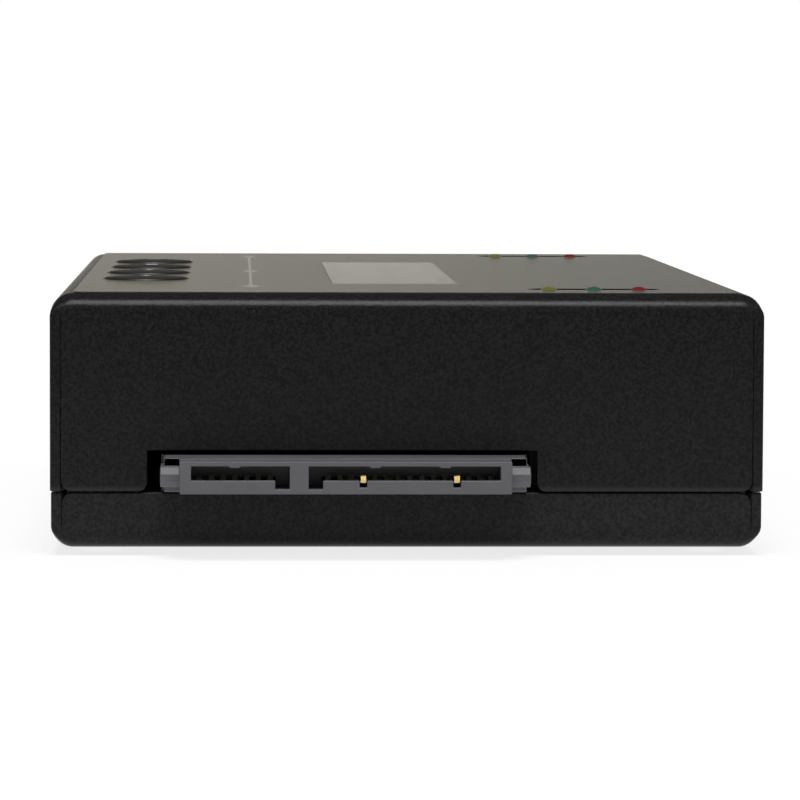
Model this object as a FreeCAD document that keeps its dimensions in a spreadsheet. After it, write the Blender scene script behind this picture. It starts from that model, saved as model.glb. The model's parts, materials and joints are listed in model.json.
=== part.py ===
import FreeCAD, Part
import math
import os
import re
import Sketcher

# A two-port drive duplicator, in millimetres.
# Frame: X across the front panel, Y from the front panel to the rear one, Z up.
# The origin is on the surface that the feet stand on, below the middle of the case.

SIZES = {
    # Case: a folded steel cover over a folded steel tray.
    "case_width": 78.4,
    "case_length": 122.0,
    "case_height": 28.0,
    "sheet": 1.1,
    "bend_radius": 2.4,
    "tray_wall": 6.1,
    "tray_inset": 0.2,
    "shell_gap": 0.27,
    "corner_gap": 0.25,
    "flange_corner": 1.1,
    "fit_gap": 0.1,
    # Rubber feet.
    "foot_radius": 4.0,
    "foot_height": 0.8,
    "foot_inset": 14.0,
    # Pillars, spacers and screws that clamp the cover, the main board and the tray.
    "pillar_inset_x": 5.7,
    "pillar_inset_y": 7.5,
    "pillar_radius": 2.75,
    "thread_radius": 1.25,
    "thread_gap": 0.05,
    "thread_depth": 7.0,
    "screw_bite": 5.0,
    "countersink_land": 0.1,
    "spacer_height": 3.5,
    "spacer_radius": 3.0,
    "board_thickness": 1.6,
    "board_gap": 0.5,
    # Graphic overlay on the top face.
    "overlay_thickness": 0.15,
    "overlay_margin": 0.2,
    "overlay_corner": 1.0,
    # Character display, its window and its module.
    "display_x": -0.6,
    "window_width": 14.4,
    "window_front": 23.75,
    "window_rear": 33.75,
    "window_gap": 0.05,
    "window_ledge": 0.5,
    "bezel_side": 5.4,
    "bezel_end": 3.35,
    "bezel_height": 7.5,
    "bezel_sheet": 0.5,
    "glass_thickness": 2.6,
    "module_side": 10.8,
    "module_end": 7.75,
    "module_hole_edge": 2.5,
    "standoff_radius": 2.25,
    "standoff_bore": 1.0,
    "standoff_end": 1.0,
    "standoff_bite": 3.0,
    "screw_head_radius": 1.9,
    "screw_head_height": 1.3,
    "socket_width": 2.5,
    "header_pitch": 2.54,
    "header_pin": 0.64,
    "header_gap": 0.13,
    "socket_height": 8.5,
    "socket_floor": 1.0,
    "header_height": 2.5,
    "display_pins": 16,
    "display_pins_gap": 4.2,
    "button_pins": 6,
    # Push buttons in a column near the left edge.
    "button_edge": 9.75,
    "button_middle_y": 1.2,
    "button_pitch": 17.0,
    "cap_radius": 4.9,
    "cap_gap": 0.2,
    "cap_rise": 0.35,
    "cap_lip": 0.8,
    "cap_lip_width": 0.9,
    "cap_stem": 1.8,
    "cap_stem_side": 4.0,
    "plunger_side": 3.4,
    "plunger_gap": 0.15,
    "plunger_reach": 1.5,
    "plunger_sink": 1.0,
    "plunger_room": 0.5,
    "switch_side": 6.0,
    "switch_height": 3.5,
    "button_board_width": 12.5,
    "button_board_end": 4.0,
    "button_standoff_gap": 0.45,
    # Status lamps: three at each end, on tall spacers.
    "lamp_edge": 17.95,
    "lamp_end": 10.8,
    "lamp_pitch": 5.05,
    "lamp_radius": 1.5,
    "lamp_chamfer": 0.7,
    "lamp_height": 5.3,
    "lamp_rise": 0.3,
    "lamp_leg": 0.5,
    "lamp_leg_pitch": 2.54,
    "lamp_slot_width": 3.6,
    "lamp_spacer_width": 4.4,
    "lamp_spacer_end": 2.2,
    # Drive ports: receptacles with a signal and a power section.
    "port_offset": 6.9,
    "port_reach": 6.3,
    "notch_width": 43.0,
    "notch_height": 4.5,
    "mouth_lift": 0.43,
    "mouth_height": 3.54,
    "mouth_depth": 5.0,
    "mouth_top_wall": 0.53,
    "mouth_end_wall": 1.24,
    "mouth_end": 2.165,
    "divider_width": 2.07,
    "key_width": 1.55,
    "key_floor": 0.52,
    "carrier_height": 1.47,
    "rib_width": 1.2,
    "rib_height": 0.17,
    "horn_width": 2.14,
    "horn_low": 1.01,
    "horn_height": 2.2,
    "horn_setback": 1.3,
    "horn_chamfer": 0.75,
    "shoulder_width": 1.75,
    "shoulder_height": 4.15,
    "shoulder_setback": 2.6,
    "seat_depth": 6.0,
    "signal_contacts": 7,
    "power_contacts": 15,
    "contact_pitch": 1.27,
    "section_gap": 6.3,
    "contact_width": 0.6,
    "contact_thickness": 0.2,
    "contact_gap": 0.1,
    "contact_rise": 0.5,
    "contact_setback": 0.9,
    "contact_bend_setback": 2.0,
    "first_mate_setback": 0.3,
    "slot_depth": 0.75,
    # Power inlet on the right-hand side.
    "jack_end": 23.0,
    "jack_width": 9.0,
    "jack_height": 11.0,
    "jack_depth": 14.0,
    "jack_axis": 6.5,
    "jack_bore": 3.15,
    "jack_bore_depth": 9.5,
    "jack_pin_radius": 1.0,
    "jack_pin_setback": 1.0,
    "jack_hole": 4.2,
    "jack_corner": 2.0,
    "jack_spring_width": 2.0,
    "jack_spring_thickness": 0.3,
    # Power switch beside the inlet.
    "power_switch_y": 20.0,
    "power_frame_length": 12.7,
    "power_frame_height": 6.6,
    "power_frame_depth": 5.6,
    "power_frame_wall": 0.6,
    "power_base_depth": 1.2,
    "knob_length": 3.2,
    "knob_height": 2.4,
    "knob_travel": 2.2,
    "knob_gap": 0.2,
    "knob_rise": 0.9,
    "knob_block_margin": 0.9,
    # Parts on the main board.
    "chip_side": 20.0,
    "chip_height": 1.4,
    "chip_x": -6.0,
    "chip_y": -20.0,
    "heat_sink_side": 19.0,
    "heat_sink_base": 1.5,
    "heat_sink_fin": 4.0,
    "heat_sink_fins": 6,
    "memory_length": 12.0,
    "memory_width": 8.0,
    "memory_height": 1.2,
    "memory_y": 4.0,
    "crystal_length": 11.4,
    "crystal_width": 4.7,
    "crystal_height": 3.5,
    "crystal_y": -38.0,
    "capacitor_radius": 3.15,
    "capacitor_height": 7.7,
    "capacitor_edge": 13.4,
    "capacitor_y": -8.0,
    "capacitor_pitch": 8.0,
    "inductor_side": 10.0,
    "inductor_gap": 2.85,
    "inductor_height": 5.0,
    "inductor_y": -26.0,
    "regulator_side": 6.5,
    "regulator_height": 2.3,
    "regulator_x": 6.0,
    "regulator_y": 28.0,
    "buzzer_radius": 6.0,
    "buzzer_height": 8.5,
    "buzzer_port": 1.0,
    "buzzer_x": -18.0,
    "buzzer_y": 34.0,
}

# Places worked out from the sizes.
HALF_WIDTH = "(case_width / 2)"
HALF_LENGTH = "(case_length / 2)"
RIM = "(foot_height + tray_wall)"
COVER_EDGE = f"({RIM} + shell_gap)"
COVER_TOP = "(foot_height + case_height)"
CEILING = f"({COVER_TOP} - sheet)"
FACE = f"({COVER_TOP} + overlay_thickness)"
TRAY_FLOOR = "(foot_height + sheet)"
BOARD_BASE = f"({TRAY_FLOOR} + spacer_height)"
BOARD_TOP = f"({BOARD_BASE} + board_thickness)"
WALL_INSIDE = "(case_width / 2 - sheet)"
TRAY_X = "(case_width / 2 - tray_inset)"
TRAY_Y = "(case_length / 2 - tray_inset)"
BOARD_EDGE_X = f"({TRAY_X} - sheet - board_gap)"
BOARD_EDGE_Y = f"({TRAY_Y} - sheet - board_gap)"
PILLAR_X = "(case_width / 2 - pillar_inset_x)"
PILLAR_Y = "(case_length / 2 - pillar_inset_y)"
BUTTON_X = "(button_edge - case_width / 2)"
DISPLAY_Y = "((window_front - window_rear) / 2)"
WINDOW_LENGTH = "(case_length - window_front - window_rear)"
BEZEL_WIDTH = "(window_width + 2 * bezel_side)"
BEZEL_LENGTH = f"({WINDOW_LENGTH} + 2 * bezel_end)"
MODULE_WIDTH = "(window_width + 2 * module_side)"
MODULE_LENGTH = f"({WINDOW_LENGTH} + 2 * module_end)"
MODULE_TOP = f"({CEILING} - bezel_height)"
MODULE_BASE = f"({MODULE_TOP} - board_thickness)"
MODULE_HOLE_X = f"({MODULE_WIDTH} / 2 - module_hole_edge)"
MODULE_HOLE_Y = f"({MODULE_LENGTH} / 2 - module_hole_edge)"
DISPLAY_PINS_Y = f"({DISPLAY_Y} - {MODULE_HOLE_Y} + display_pins_gap + display_pins * header_pitch / 2)"
CAP_FOOT = f"({CEILING} - fit_gap - cap_lip - cap_stem)"
SWITCH_TOP = f"({CAP_FOOT} - plunger_reach)"
BUTTON_BOARD_TOP = f"({SWITCH_TOP} - switch_height)"
BUTTON_BOARD_BASE = f"({BUTTON_BOARD_TOP} - board_thickness)"
BUTTON_REACH = "(1.5 * button_pitch)"
BUTTON_LIP = "(cap_radius + cap_lip_width)"
LAMP_BASE = f"({FACE} + lamp_rise - lamp_height)"
LAMP_X = "(case_width / 2 - lamp_edge)"
LAMP_Y = "(case_length / 2 - lamp_end)"
JACK_Y = "(case_length / 2 - jack_end)"
JACK_FACE = f"({WALL_INSIDE} - fit_gap)"
CAPACITOR_X = f"({BOARD_EDGE_X} - capacitor_edge)"
INDUCTOR_X = f"(display_x + {MODULE_HOLE_X} + (socket_width + inductor_side) / 2 + inductor_gap)"

# Places in a drive port's own frame: X across, Y inwards from the panel's face, Z up from the board.
SPAN = "((signal_contacts + power_contacts - 2) * contact_pitch + section_gap)"
MOUTH_X = f"({SPAN} / 2 + mouth_end)"
MOUTH_TOP = "(mouth_lift + mouth_height)"
MOUTH_FLOOR = "(mouth_depth - port_reach)"
CARRIER = "(mouth_lift + carrier_height)"
SIGNAL_FIRST = f"(-{SPAN} / 2)"
POWER_FIRST = f"({SPAN} / 2 - (power_contacts - 1) * contact_pitch)"
DIVIDER_X = f"({POWER_FIRST} - section_gap / 2)"
PORT_SEAT = "(tray_inset + sheet + board_gap)"
PORT_BACK = f"({PORT_SEAT} + seat_depth)"

# The buttons' places along their column, in pitches from its middle.
BUTTON_STEPS = (-1.5, -0.5, 0.5, 1.5)
# Sides of the prisms that stand for pillars, for cans, lamps and screw heads, and for bores and shanks.
PILLAR_SIDES = 6
CAN_SIDES = 16
BORE_SIDES = 8
# Two places nearer than this are the same.
TOUCH = 1e-4
# Contacts of the power section that reach further forward and mate first, counted from 0.
FIRST_MATES = (3, 11)

doc = FreeCAD.newDocument("DriveDuplicator")
sheet = doc.addObject("Spreadsheet::Sheet", "Sizes")
for row, (alias, number) in enumerate(SIZES.items(), start=1):
    sheet.set(f"A{row}", alias)
    sheet.set(f"B{row}", str(number))
    sheet.setAlias(f"B{row}", alias)
# An empty object that works out expressions on the sheet.
calculator = doc.addObject("App::FeaturePython", "Calculator")
doc.recompute()

# The finished sub-parts, in the order in which they are made.
sub_parts = []


def bound(text):
    """The expression with each size's name turned into its cell of the sheet."""
    return re.sub(r"[a-z_]+", lambda word: f"Sizes.{word[0]}" if word[0] in SIZES else word[0], text)


def value(text):
    """The number that an expression on the sizes gives now."""
    return float(calculator.evalExpression(bound(text)))


def new_body(label, x="0", y="0", z="0", turned_round=False):
    """An empty sub-part whose own origin is at the given place."""
    body = doc.addObject("PartDesign::Body", label)
    body.Label = label
    if turned_round:
        body.Placement.Rotation = FreeCAD.Rotation(FreeCAD.Vector(0, 0, 1), 180)
    body.setExpression("Placement.Base.x", bound(x))
    body.setExpression("Placement.Base.y", bound(y))
    body.setExpression("Placement.Base.z", bound(z))
    sub_parts.append(body)
    return body


def origin_feature(body, role):
    """One of the body's own origin planes or axes."""
    return next(feature for feature in body.Origin.OriginFeatures if feature.Role == role)


def new_sketch(body, name, plane="XY_Plane", offset="0"):
    """A sketch on an origin plane, moved along the plane's normal: +Z, -Y or +X."""
    sketch = body.newObject("Sketcher::SketchObject", f"{body.Name}_{name}")
    sketch.AttachmentSupport = [(origin_feature(body, plane), "")]
    sketch.MapMode = "FlatFace"
    sketch.setExpression("AttachmentOffset.Base.z", bound(offset))
    return sketch


def bind(sketch, kind, targets, text):
    """A dimension of the sketch that follows an expression."""
    index = sketch.addConstraint(Sketcher.Constraint(kind, *targets, value(text)))
    sketch.setExpression(f"Constraints[{index}]", bound(text))


def place_point(sketch, geometry, point, x, y):
    """Hold one point of a geometry at the given place of the sketch."""
    bind(sketch, "DistanceX", (-1, 1, geometry, point), x)
    bind(sketch, "DistanceY", (-1, 1, geometry, point), y)


def outline(sketch, points):
    """A closed outline of straight runs through the given places."""
    places = [FreeCAD.Vector(value(x), value(y), 0) for x, y in points]
    first = sketch.GeometryCount
    count = len(points)
    for index in range(count):
        run = Part.LineSegment(places[index], places[(index + 1) % count])
        sketch.addGeometry(run, False)
    for index, (x, y) in enumerate(points):
        following = first + (index + 1) % count
        sketch.addConstraint(Sketcher.Constraint("Coincident", first + index, 2, following, 1))
        place_point(sketch, first + index, 1, x, y)


def rectangle(sketch, left, right, low, high):
    """A rectangle between two places each way."""
    outline(sketch, [(left, low), (right, low), (right, high), (left, high)])


def middle_rectangle(sketch, x, y, width, height):
    """A rectangle about its middle."""
    across = f"{width} / 2"
    along = f"{height} / 2"
    rectangle(sketch, f"{x} - {across}", f"{x} + {across}", f"{y} - {along}", f"{y} + {along}")


def circle(sketch, x, y, radius):
    """A full circle."""
    centre = FreeCAD.Vector(value(x), value(y), 0)
    index = sketch.addGeometry(Part.Circle(centre, FreeCAD.Vector(0, 0, 1), value(radius)), False)
    place_point(sketch, index, 3, x, y)
    bind(sketch, "Radius", (index,), radius)


def round_slot(sketch, left, right, y, radius):
    """A slot along X with round ends, whose end centres are given."""
    up = FreeCAD.Vector(0, 0, 1)
    quarter = math.pi / 2
    reach = value(radius)
    start = FreeCAD.Vector(value(left), value(y), 0)
    end = FreeCAD.Vector(value(right), value(y), 0)
    rise = FreeCAD.Vector(0, reach, 0)
    near = sketch.addGeometry(Part.ArcOfCircle(Part.Circle(start, up, reach), quarter, 3 * quarter), False)
    low = sketch.addGeometry(Part.LineSegment(start - rise, end - rise), False)
    far = sketch.addGeometry(Part.ArcOfCircle(Part.Circle(end, up, reach), -quarter, quarter), False)
    high = sketch.addGeometry(Part.LineSegment(end + rise, start + rise), False)
    for one, other in ((near, low), (low, far), (far, high), (high, near)):
        sketch.addConstraint(Sketcher.Constraint("Tangent", one, 2, other, 1))
    place_point(sketch, near, 3, left, y)
    bind(sketch, "DistanceX", (-1, 1, far, 3), right)
    bind(sketch, "Radius", (near,), radius)


def corners(x, y):
    """The four places that mirror one corner place about both axes."""
    return [(f"{side}{x}", f"{end}{y}") for side in ("-", "") for end in ("-", "")]


def finish(body, feature):
    """Make a new feature the body's result and compute it."""
    body.Tip = feature
    doc.recompute()
    return feature


def pad(sketch, length, backwards=False, symmetric=False, taper=0):
    """Add material from the sketch along its normal."""
    body = sketch.getParentGeoFeatureGroup()
    feature = body.newObject("PartDesign::Pad", f"{sketch.Name}_pad")
    feature.Profile = sketch
    feature.Reversed = backwards
    feature.SideType = "Symmetric" if symmetric else "One side"
    feature.TaperAngle = taper
    feature.setExpression("Length", bound(length))
    return finish(body, feature)


def pocket(sketch, length, forwards=False):
    """Cut material from the sketch against its normal, and make sure that it cut some."""
    body = sketch.getParentGeoFeatureGroup()
    before = body.Shape.Volume
    feature = body.newObject("PartDesign::Pocket", f"{sketch.Name}_pocket")
    feature.Profile = sketch
    feature.Reversed = forwards
    feature.setExpression("Length", bound(length))
    finish(body, feature)
    if not body.Shape.Volume < before:
        raise RuntimeError(f"{feature.Name} cuts nothing")
    return feature


def names_at(feature, kind, where):
    """Names of the edges or faces that lie flat at the given x, y or z places."""
    names = []
    for index, piece in enumerate(getattr(feature.Shape, f"{kind}s"), start=1):
        box = piece.BoundBox
        spans = {"x": (box.XMin, box.XMax), "y": (box.YMin, box.YMax), "z": (box.ZMin, box.ZMax)}
        if all(
            any(max(abs(span - place) for span in spans[axis]) < TOUCH for place in places)
            for axis, places in where.items()
        ):
            names.append(f"{kind}{index}")
    return names


def ease_edges(feature, size, kind="Fillet", **where):
    """Round or chamfer the edges of a feature at the given places."""
    body = feature.getParentGeoFeatureGroup()
    eased = body.newObject(f"PartDesign::{kind}", f"{feature.Name}_{kind.lower()}")
    eased.Base = (feature, names_at(feature, "Edge", where))
    eased.setExpression("Radius" if kind == "Fillet" else "Size", bound(size))
    return finish(body, eased)


def primitive(body, kind, place, cut=False, sides=None, **sizes):
    """Add or cut an upright prism or cone that stands on a place of the body."""
    effect = "Subtractive" if cut else "Additive"
    feature = body.newObject(f"PartDesign::{effect}{kind}", f"{body.Name}_{kind}")
    feature.AttachmentSupport = [(origin_feature(body, "XY_Plane"), "")]
    feature.MapMode = "FlatFace"
    if sides is not None:
        feature.Polygon = sides
    for axis, text in zip("xyz", place):
        feature.setExpression(f"AttachmentOffset.Base.{axis}", bound(text))
    for name, text in sizes.items():
        feature.setExpression(name, bound(text))
    return finish(body, feature)


def hollow(feature, wall, **where):
    """Hollow a solid from the faces at the given places, leaving an even wall inside its outer face."""
    body = feature.getParentGeoFeatureGroup()
    shell = body.newObject("PartDesign::Thickness", f"{feature.Name}_shell")
    shell.Base = (feature, names_at(feature, "Face", where))
    shell.setExpression("Value", bound(wall))
    shell.Reversed = True
    return finish(body, shell)


def repeat(feature, count, pitch):
    """Repeat a feature along X."""
    body = feature.getParentGeoFeatureGroup()
    row_of = body.newObject("PartDesign::LinearPattern", f"{feature.Name}_row")
    row_of.Originals = [feature]
    row_of.Direction = (origin_feature(body, "X_Axis"), [""])
    row_of.Mode = "Spacing"
    row_of.setExpression("Offset", bound(pitch))
    row_of.setExpression("Occurrences", bound(count))
    return finish(body, row_of)


def half_turn(feature):
    """Repeat a feature at the other end of the case, turned half round about Z."""
    body = feature.getParentGeoFeatureGroup()
    pair = body.newObject("PartDesign::PolarPattern", f"{feature.Name}_pair")
    pair.Originals = [feature]
    pair.Axis = (origin_feature(body, "Z_Axis"), [""])
    pair.Angle = 360
    pair.Occurrences = 2
    return finish(body, pair)


def block(label, x, y, z, width, length, height):
    """A plain block about a place in X and Y, standing on a place in Z."""
    body = new_body(label, x, y, z)
    plan = new_sketch(body, "plan")
    middle_rectangle(plan, "0", "0", width, length)
    pad(plan, height)
    return body


def control_openings(sketch):
    """Openings of the top face: display window, button holes and the two lamp slots."""
    middle_rectangle(sketch, "display_x", DISPLAY_Y, "(window_width + 2 * window_gap)",
                     f"({WINDOW_LENGTH} + 2 * window_gap)")
    for step in BUTTON_STEPS:
        circle(sketch, BUTTON_X, f"button_middle_y + {step} * button_pitch", "cap_radius + cap_gap")
    for end in ("-", ""):
        round_slot(sketch, f"{LAMP_X} - lamp_pitch", f"{LAMP_X} + lamp_pitch", f"{end}{LAMP_Y}",
                   "lamp_slot_width / 2")


def make_top_cover():
    """Folded cover: flat top with four flanges, notched round the ports and open for the controls."""
    body = new_body("top_cover")
    plan = new_sketch(body, "plan", offset=COVER_EDGE)
    middle_rectangle(plan, "0", "0", "case_width", "case_length")
    solid = pad(plan, f"{COVER_TOP} - {COVER_EDGE}")
    bent = ease_edges(solid, "bend_radius", z=[value(COVER_TOP)])
    hollow(bent, "sheet", z=[value(COVER_EDGE)])

    seams = new_sketch(body, "seams", "XZ_Plane", HALF_LENGTH)
    seam_inside = f"({WALL_INSIDE} - corner_gap)"
    seam_top = f"{COVER_TOP} - bend_radius"
    rectangle(seams, seam_inside, WALL_INSIDE, COVER_EDGE, seam_top)
    rectangle(seams, f"-{WALL_INSIDE}", f"-{seam_inside}", COVER_EDGE, seam_top)
    pocket(seams, "case_length")

    notch = new_sketch(body, "notch", "XZ_Plane", HALF_LENGTH)
    notch_left = "(-port_offset - notch_width / 2)"
    notch_right = "(-port_offset + notch_width / 2)"
    rectangle(notch, notch_left, notch_right, COVER_EDGE, f"{COVER_EDGE} + notch_height")
    notches = half_turn(pocket(notch, "bend_radius"))

    corner_places = [value(seam_inside), value(notch_left), value(notch_right)]
    corner_places += [-place for place in corner_places]
    ease_edges(notches, "flange_corner", x=corner_places, z=[value(COVER_EDGE)])

    openings = new_sketch(body, "openings", offset=COVER_TOP)
    control_openings(openings)
    pocket(openings, "bend_radius")

    side = new_sketch(body, "side_openings", "YZ_Plane", HALF_WIDTH)
    circle(side, JACK_Y, f"{BOARD_TOP} + jack_axis", "jack_hole")
    knob_room = "(knob_length + knob_travel + 4 * knob_gap)"
    middle_rectangle(side, "power_switch_y", f"({BOARD_TOP} + power_frame_height / 2)", knob_room,
                     "(knob_height + 4 * knob_gap)")
    pocket(side, "bend_radius")


def make_bottom_tray():
    """Folded tray below the cover, with countersunk holes for the case screws."""
    body = new_body("bottom_tray")
    plan = new_sketch(body, "plan", offset="foot_height")
    middle_rectangle(plan, "0", "0", f"(2 * {TRAY_X})", f"(2 * {TRAY_Y})")
    solid = pad(plan, "tray_wall")
    bent = ease_edges(solid, "bend_radius", z=[value("foot_height")])
    hollow(bent, "sheet", z=[value(RIM)])

    seams = new_sketch(body, "seams", "XZ_Plane", TRAY_Y)
    wall_inside = f"({TRAY_X} - sheet)"
    seam_inside = f"({wall_inside} - corner_gap)"
    seam_foot = "foot_height + bend_radius"
    rectangle(seams, seam_inside, wall_inside, seam_foot, RIM)
    rectangle(seams, f"-{wall_inside}", f"-{seam_inside}", seam_foot, RIM)
    cut = pocket(seams, f"2 * {TRAY_Y}")
    corner_places = [value(seam_inside), -value(seam_inside)]
    ease_edges(cut, "flange_corner", x=corner_places, z=[value(RIM)])

    hole = "(thread_radius + thread_gap)"
    for x, y in corners(PILLAR_X, PILLAR_Y):
        primitive(body, "Cone", (x, y, "foot_height"), cut=True, Height="sheet", Radius1=f"{hole} + sheet",
                  Radius2=hole)


def make_rubber_feet():
    """Four round pads under the tray."""
    body = new_body("rubber_feet")
    plan = new_sketch(body, "plan")
    for x, y in corners("(case_width / 2 - foot_inset)", "(case_length / 2 - foot_inset)"):
        circle(plan, x, y, "foot_radius")
    pad(plan, "foot_height")


def tubes(label, places, base, length, radius, bore, depth):
    """Pillars with a blind or open bore in the lower end, in one node."""
    body = new_body(label, z=base)
    for x, y in places:
        primitive(body, "Prism", (x, y, "0"), sides=PILLAR_SIDES, Circumradius=radius, Height=length)
    for x, y in places:
        primitive(body, "Prism", (x, y, "0"), cut=True, sides=BORE_SIDES, Circumradius=bore, Height=depth)


def screws(label, places, base, head_radius, head_height, shank_radius, reach, taper=None):
    """Screws that point up, with plain or countersunk heads at the base."""
    body = new_body(label, z=base)
    sides = BORE_SIDES if taper is None else CAN_SIDES
    for x, y in places:
        head = primitive(body, "Prism", (x, y, "0"), sides=sides, Circumradius=head_radius,
                         Height=head_height)
    if taper is not None:
        ease_edges(head, taper, "Chamfer", z=[value(head_height)])
    for x, y in places:
        primitive(body, "Prism", (x, y, "0"), sides=BORE_SIDES, Circumradius=shank_radius, Height=reach)


def make_case_fasteners():
    """The stack at each corner: screw, spacer, main board, pillar."""
    places = corners(PILLAR_X, PILLAR_Y)
    clearance = "thread_radius + fit_gap"
    tubes("board_spacers", places, TRAY_FLOOR, "spacer_height", "spacer_radius", clearance, "spacer_height")
    tubes("cover_pillars", places, BOARD_TOP, f"{CEILING} - {BOARD_TOP}", "pillar_radius",
          "thread_radius + thread_gap", "thread_depth")
    taper = "(sheet - countersink_land)"
    screws("case_screws", places, "foot_height", f"thread_radius + {taper}", "sheet", "thread_radius",
           f"{BOARD_TOP} - foot_height + screw_bite", taper)


def board(label, x, y, top, width, length, hole_places, hole_radius):
    """A circuit board about a place, with its fixing holes, below the given top."""
    body = block(label, x, y, f"{top} - board_thickness", width, length, "board_thickness")
    for hole_x, hole_y in hole_places:
        primitive(body, "Prism", (hole_x, hole_y, "0"), cut=True, sides=BORE_SIDES, Circumradius=hole_radius,
                  Height="board_thickness")


def make_overlay():
    """Printed film on the flat of the top, with the same openings as the cover."""
    body = new_body("graphic_overlay", z=COVER_TOP)
    plan = new_sketch(body, "plan")
    border = "(bend_radius + overlay_margin)"
    middle_rectangle(plan, "0", "0", f"(case_width - 2 * {border})", f"(case_length - 2 * {border})")
    film = pad(plan, "overlay_thickness")
    edge_x = value(f"{HALF_WIDTH} - {border}")
    edge_y = value(f"{HALF_LENGTH} - {border}")
    ease_edges(film, "overlay_corner", x=[-edge_x, edge_x], y=[-edge_y, edge_y])
    openings = new_sketch(body, "openings", offset="overlay_thickness")
    control_openings(openings)
    pocket(openings, "overlay_thickness")


def make_display():
    """Character display module hung from the cover by four standoffs."""
    at = ("display_x", DISPLAY_Y)
    block("display_window", *at, CEILING, "window_width", WINDOW_LENGTH, "(sheet + overlay_thickness)")

    bezel = new_body("display_bezel", *at, MODULE_TOP)
    plan = new_sketch(bezel, "plan")
    middle_rectangle(plan, "0", "0", BEZEL_WIDTH, BEZEL_LENGTH)
    can = pad(plan, "bezel_height")
    hollow(can, "bezel_sheet", z=[0])
    view = new_sketch(bezel, "view", offset="bezel_height")
    middle_rectangle(view, "0", "0", "(window_width - 2 * window_ledge)",
                     f"({WINDOW_LENGTH} - 2 * window_ledge)")
    pocket(view, "2 * bezel_sheet")

    inner_width = f"({BEZEL_WIDTH} - 2 * bezel_sheet - 2 * fit_gap)"
    inner_length = f"({BEZEL_LENGTH} - 2 * bezel_sheet - 2 * fit_gap)"
    glass_base = f"({CEILING} - bezel_sheet - glass_thickness)"
    block("display_glass", *at, glass_base, inner_width, inner_length, "glass_thickness")
    block("display_backlight", *at, MODULE_TOP, inner_width, inner_length, f"({glass_base} - {MODULE_TOP})")

    holes = corners(MODULE_HOLE_X, MODULE_HOLE_Y)
    board("display_board", *at, MODULE_TOP, MODULE_WIDTH, MODULE_LENGTH, holes, "standoff_bore + fit_gap")
    places = [(f"display_x + {x}", f"{DISPLAY_Y} + {y}") for x, y in holes]
    tubes("display_standoffs", places, MODULE_TOP, "bezel_height", "standoff_radius",
          "standoff_bore + thread_gap", "bezel_height - standoff_end")
    screws("display_screws", places, f"{MODULE_BASE} - screw_head_height", "screw_head_radius",
           "screw_head_height", "standoff_bore", "screw_head_height + board_thickness + standoff_bite")


def header_pair(name, x, y, pins, base):
    """A pin header below a board, plugged into a tall slotted socket strip on the main board."""
    strip = f"({pins} * header_pitch)"
    slot_width = "(header_pin + 2 * header_gap)"
    socket = block(f"{name}_socket", x, y, BOARD_TOP, "socket_width", strip, "socket_height")
    slot = new_sketch(socket, "slot", offset="socket_height")
    middle_rectangle(slot, "0", "0", slot_width, f"({strip} - header_pitch + {slot_width})")
    pocket(slot, "socket_height - socket_floor")

    header = block(f"{name}_header", x, y, f"{base} - header_height", "socket_width", strip, "header_height")
    plan = new_sketch(header, "pins")
    for index in range(round(value(pins))):
        middle_rectangle(plan, "0", f"({index} * header_pitch - ({strip} - header_pitch) / 2)", "header_pin",
                         "header_pin")
    gap = f"({base} - header_height - {BOARD_TOP} - socket_height)"
    pad(plan, f"({gap} + socket_height / 2)", backwards=True)


def make_buttons():
    """Four round caps, each on the plunger of a small switch, on a board of their own."""
    steps = [f"(button_middle_y + {step} * button_pitch)" for step in BUTTON_STEPS]
    lip_base = "(-fit_gap - cap_lip)"
    foot = f"({lip_base} - cap_stem)"
    rim_height = "(sheet + overlay_thickness + cap_rise)"
    for number, y in enumerate(steps, start=1):
        cap = new_body(f"button_cap_{number}", BUTTON_X, y, CEILING)
        stem = new_sketch(cap, "stem", offset=foot)
        middle_rectangle(stem, "0", "0", "cap_stem_side", "cap_stem_side")
        pad(stem, "cap_stem")
        lip = new_sketch(cap, "lip", offset=lip_base)
        middle_rectangle(lip, "0", "0", f"2 * {BUTTON_LIP}", f"2 * {BUTTON_LIP}")
        pad(lip, "cap_lip")
        crown = new_sketch(cap, "crown", offset="-fit_gap")
        circle(crown, "0", "0", "cap_radius")
        pad(crown, f"{rim_height} + fit_gap")
        block(f"switch_plunger_{number}", BUTTON_X, y, f"{SWITCH_TOP} - plunger_sink", "plunger_side",
              "plunger_side", "(plunger_sink + plunger_reach)")

    switches = new_body("button_switches", BUTTON_X, z=BUTTON_BOARD_TOP)
    plan = new_sketch(switches, "plan")
    for y in steps:
        middle_rectangle(plan, "0", y, "switch_side", "switch_side")
    pad(plan, "switch_height")
    well_side = "(plunger_side + 2 * plunger_gap)"
    wells = new_sketch(switches, "wells", offset="switch_height")
    for y in steps:
        middle_rectangle(wells, "0", y, well_side, well_side)
    pocket(wells, "plunger_sink + plunger_room")

    standoff_reach = f"({BUTTON_REACH} + {BUTTON_LIP} + button_standoff_gap + standoff_radius)"
    board_length = f"(2 * ({standoff_reach} + button_board_end))"
    ends = [("0", f"-{standoff_reach}"), ("0", standoff_reach)]
    board("button_board", BUTTON_X, "button_middle_y", BUTTON_BOARD_TOP, "button_board_width", board_length,
          ends, "standoff_bore + fit_gap")
    places = [(BUTTON_X, f"button_middle_y + {y}") for _, y in ends]
    height = f"({CEILING} - {BUTTON_BOARD_TOP})"
    tubes("button_standoffs", places, BUTTON_BOARD_TOP, height, "standoff_radius",
          "standoff_bore + thread_gap", f"{height} - standoff_end")
    screws("button_screws", places, f"{BUTTON_BOARD_BASE} - screw_head_height", "screw_head_radius",
           "screw_head_height", "standoff_bore", "screw_head_height + board_thickness + standoff_bite")


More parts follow.
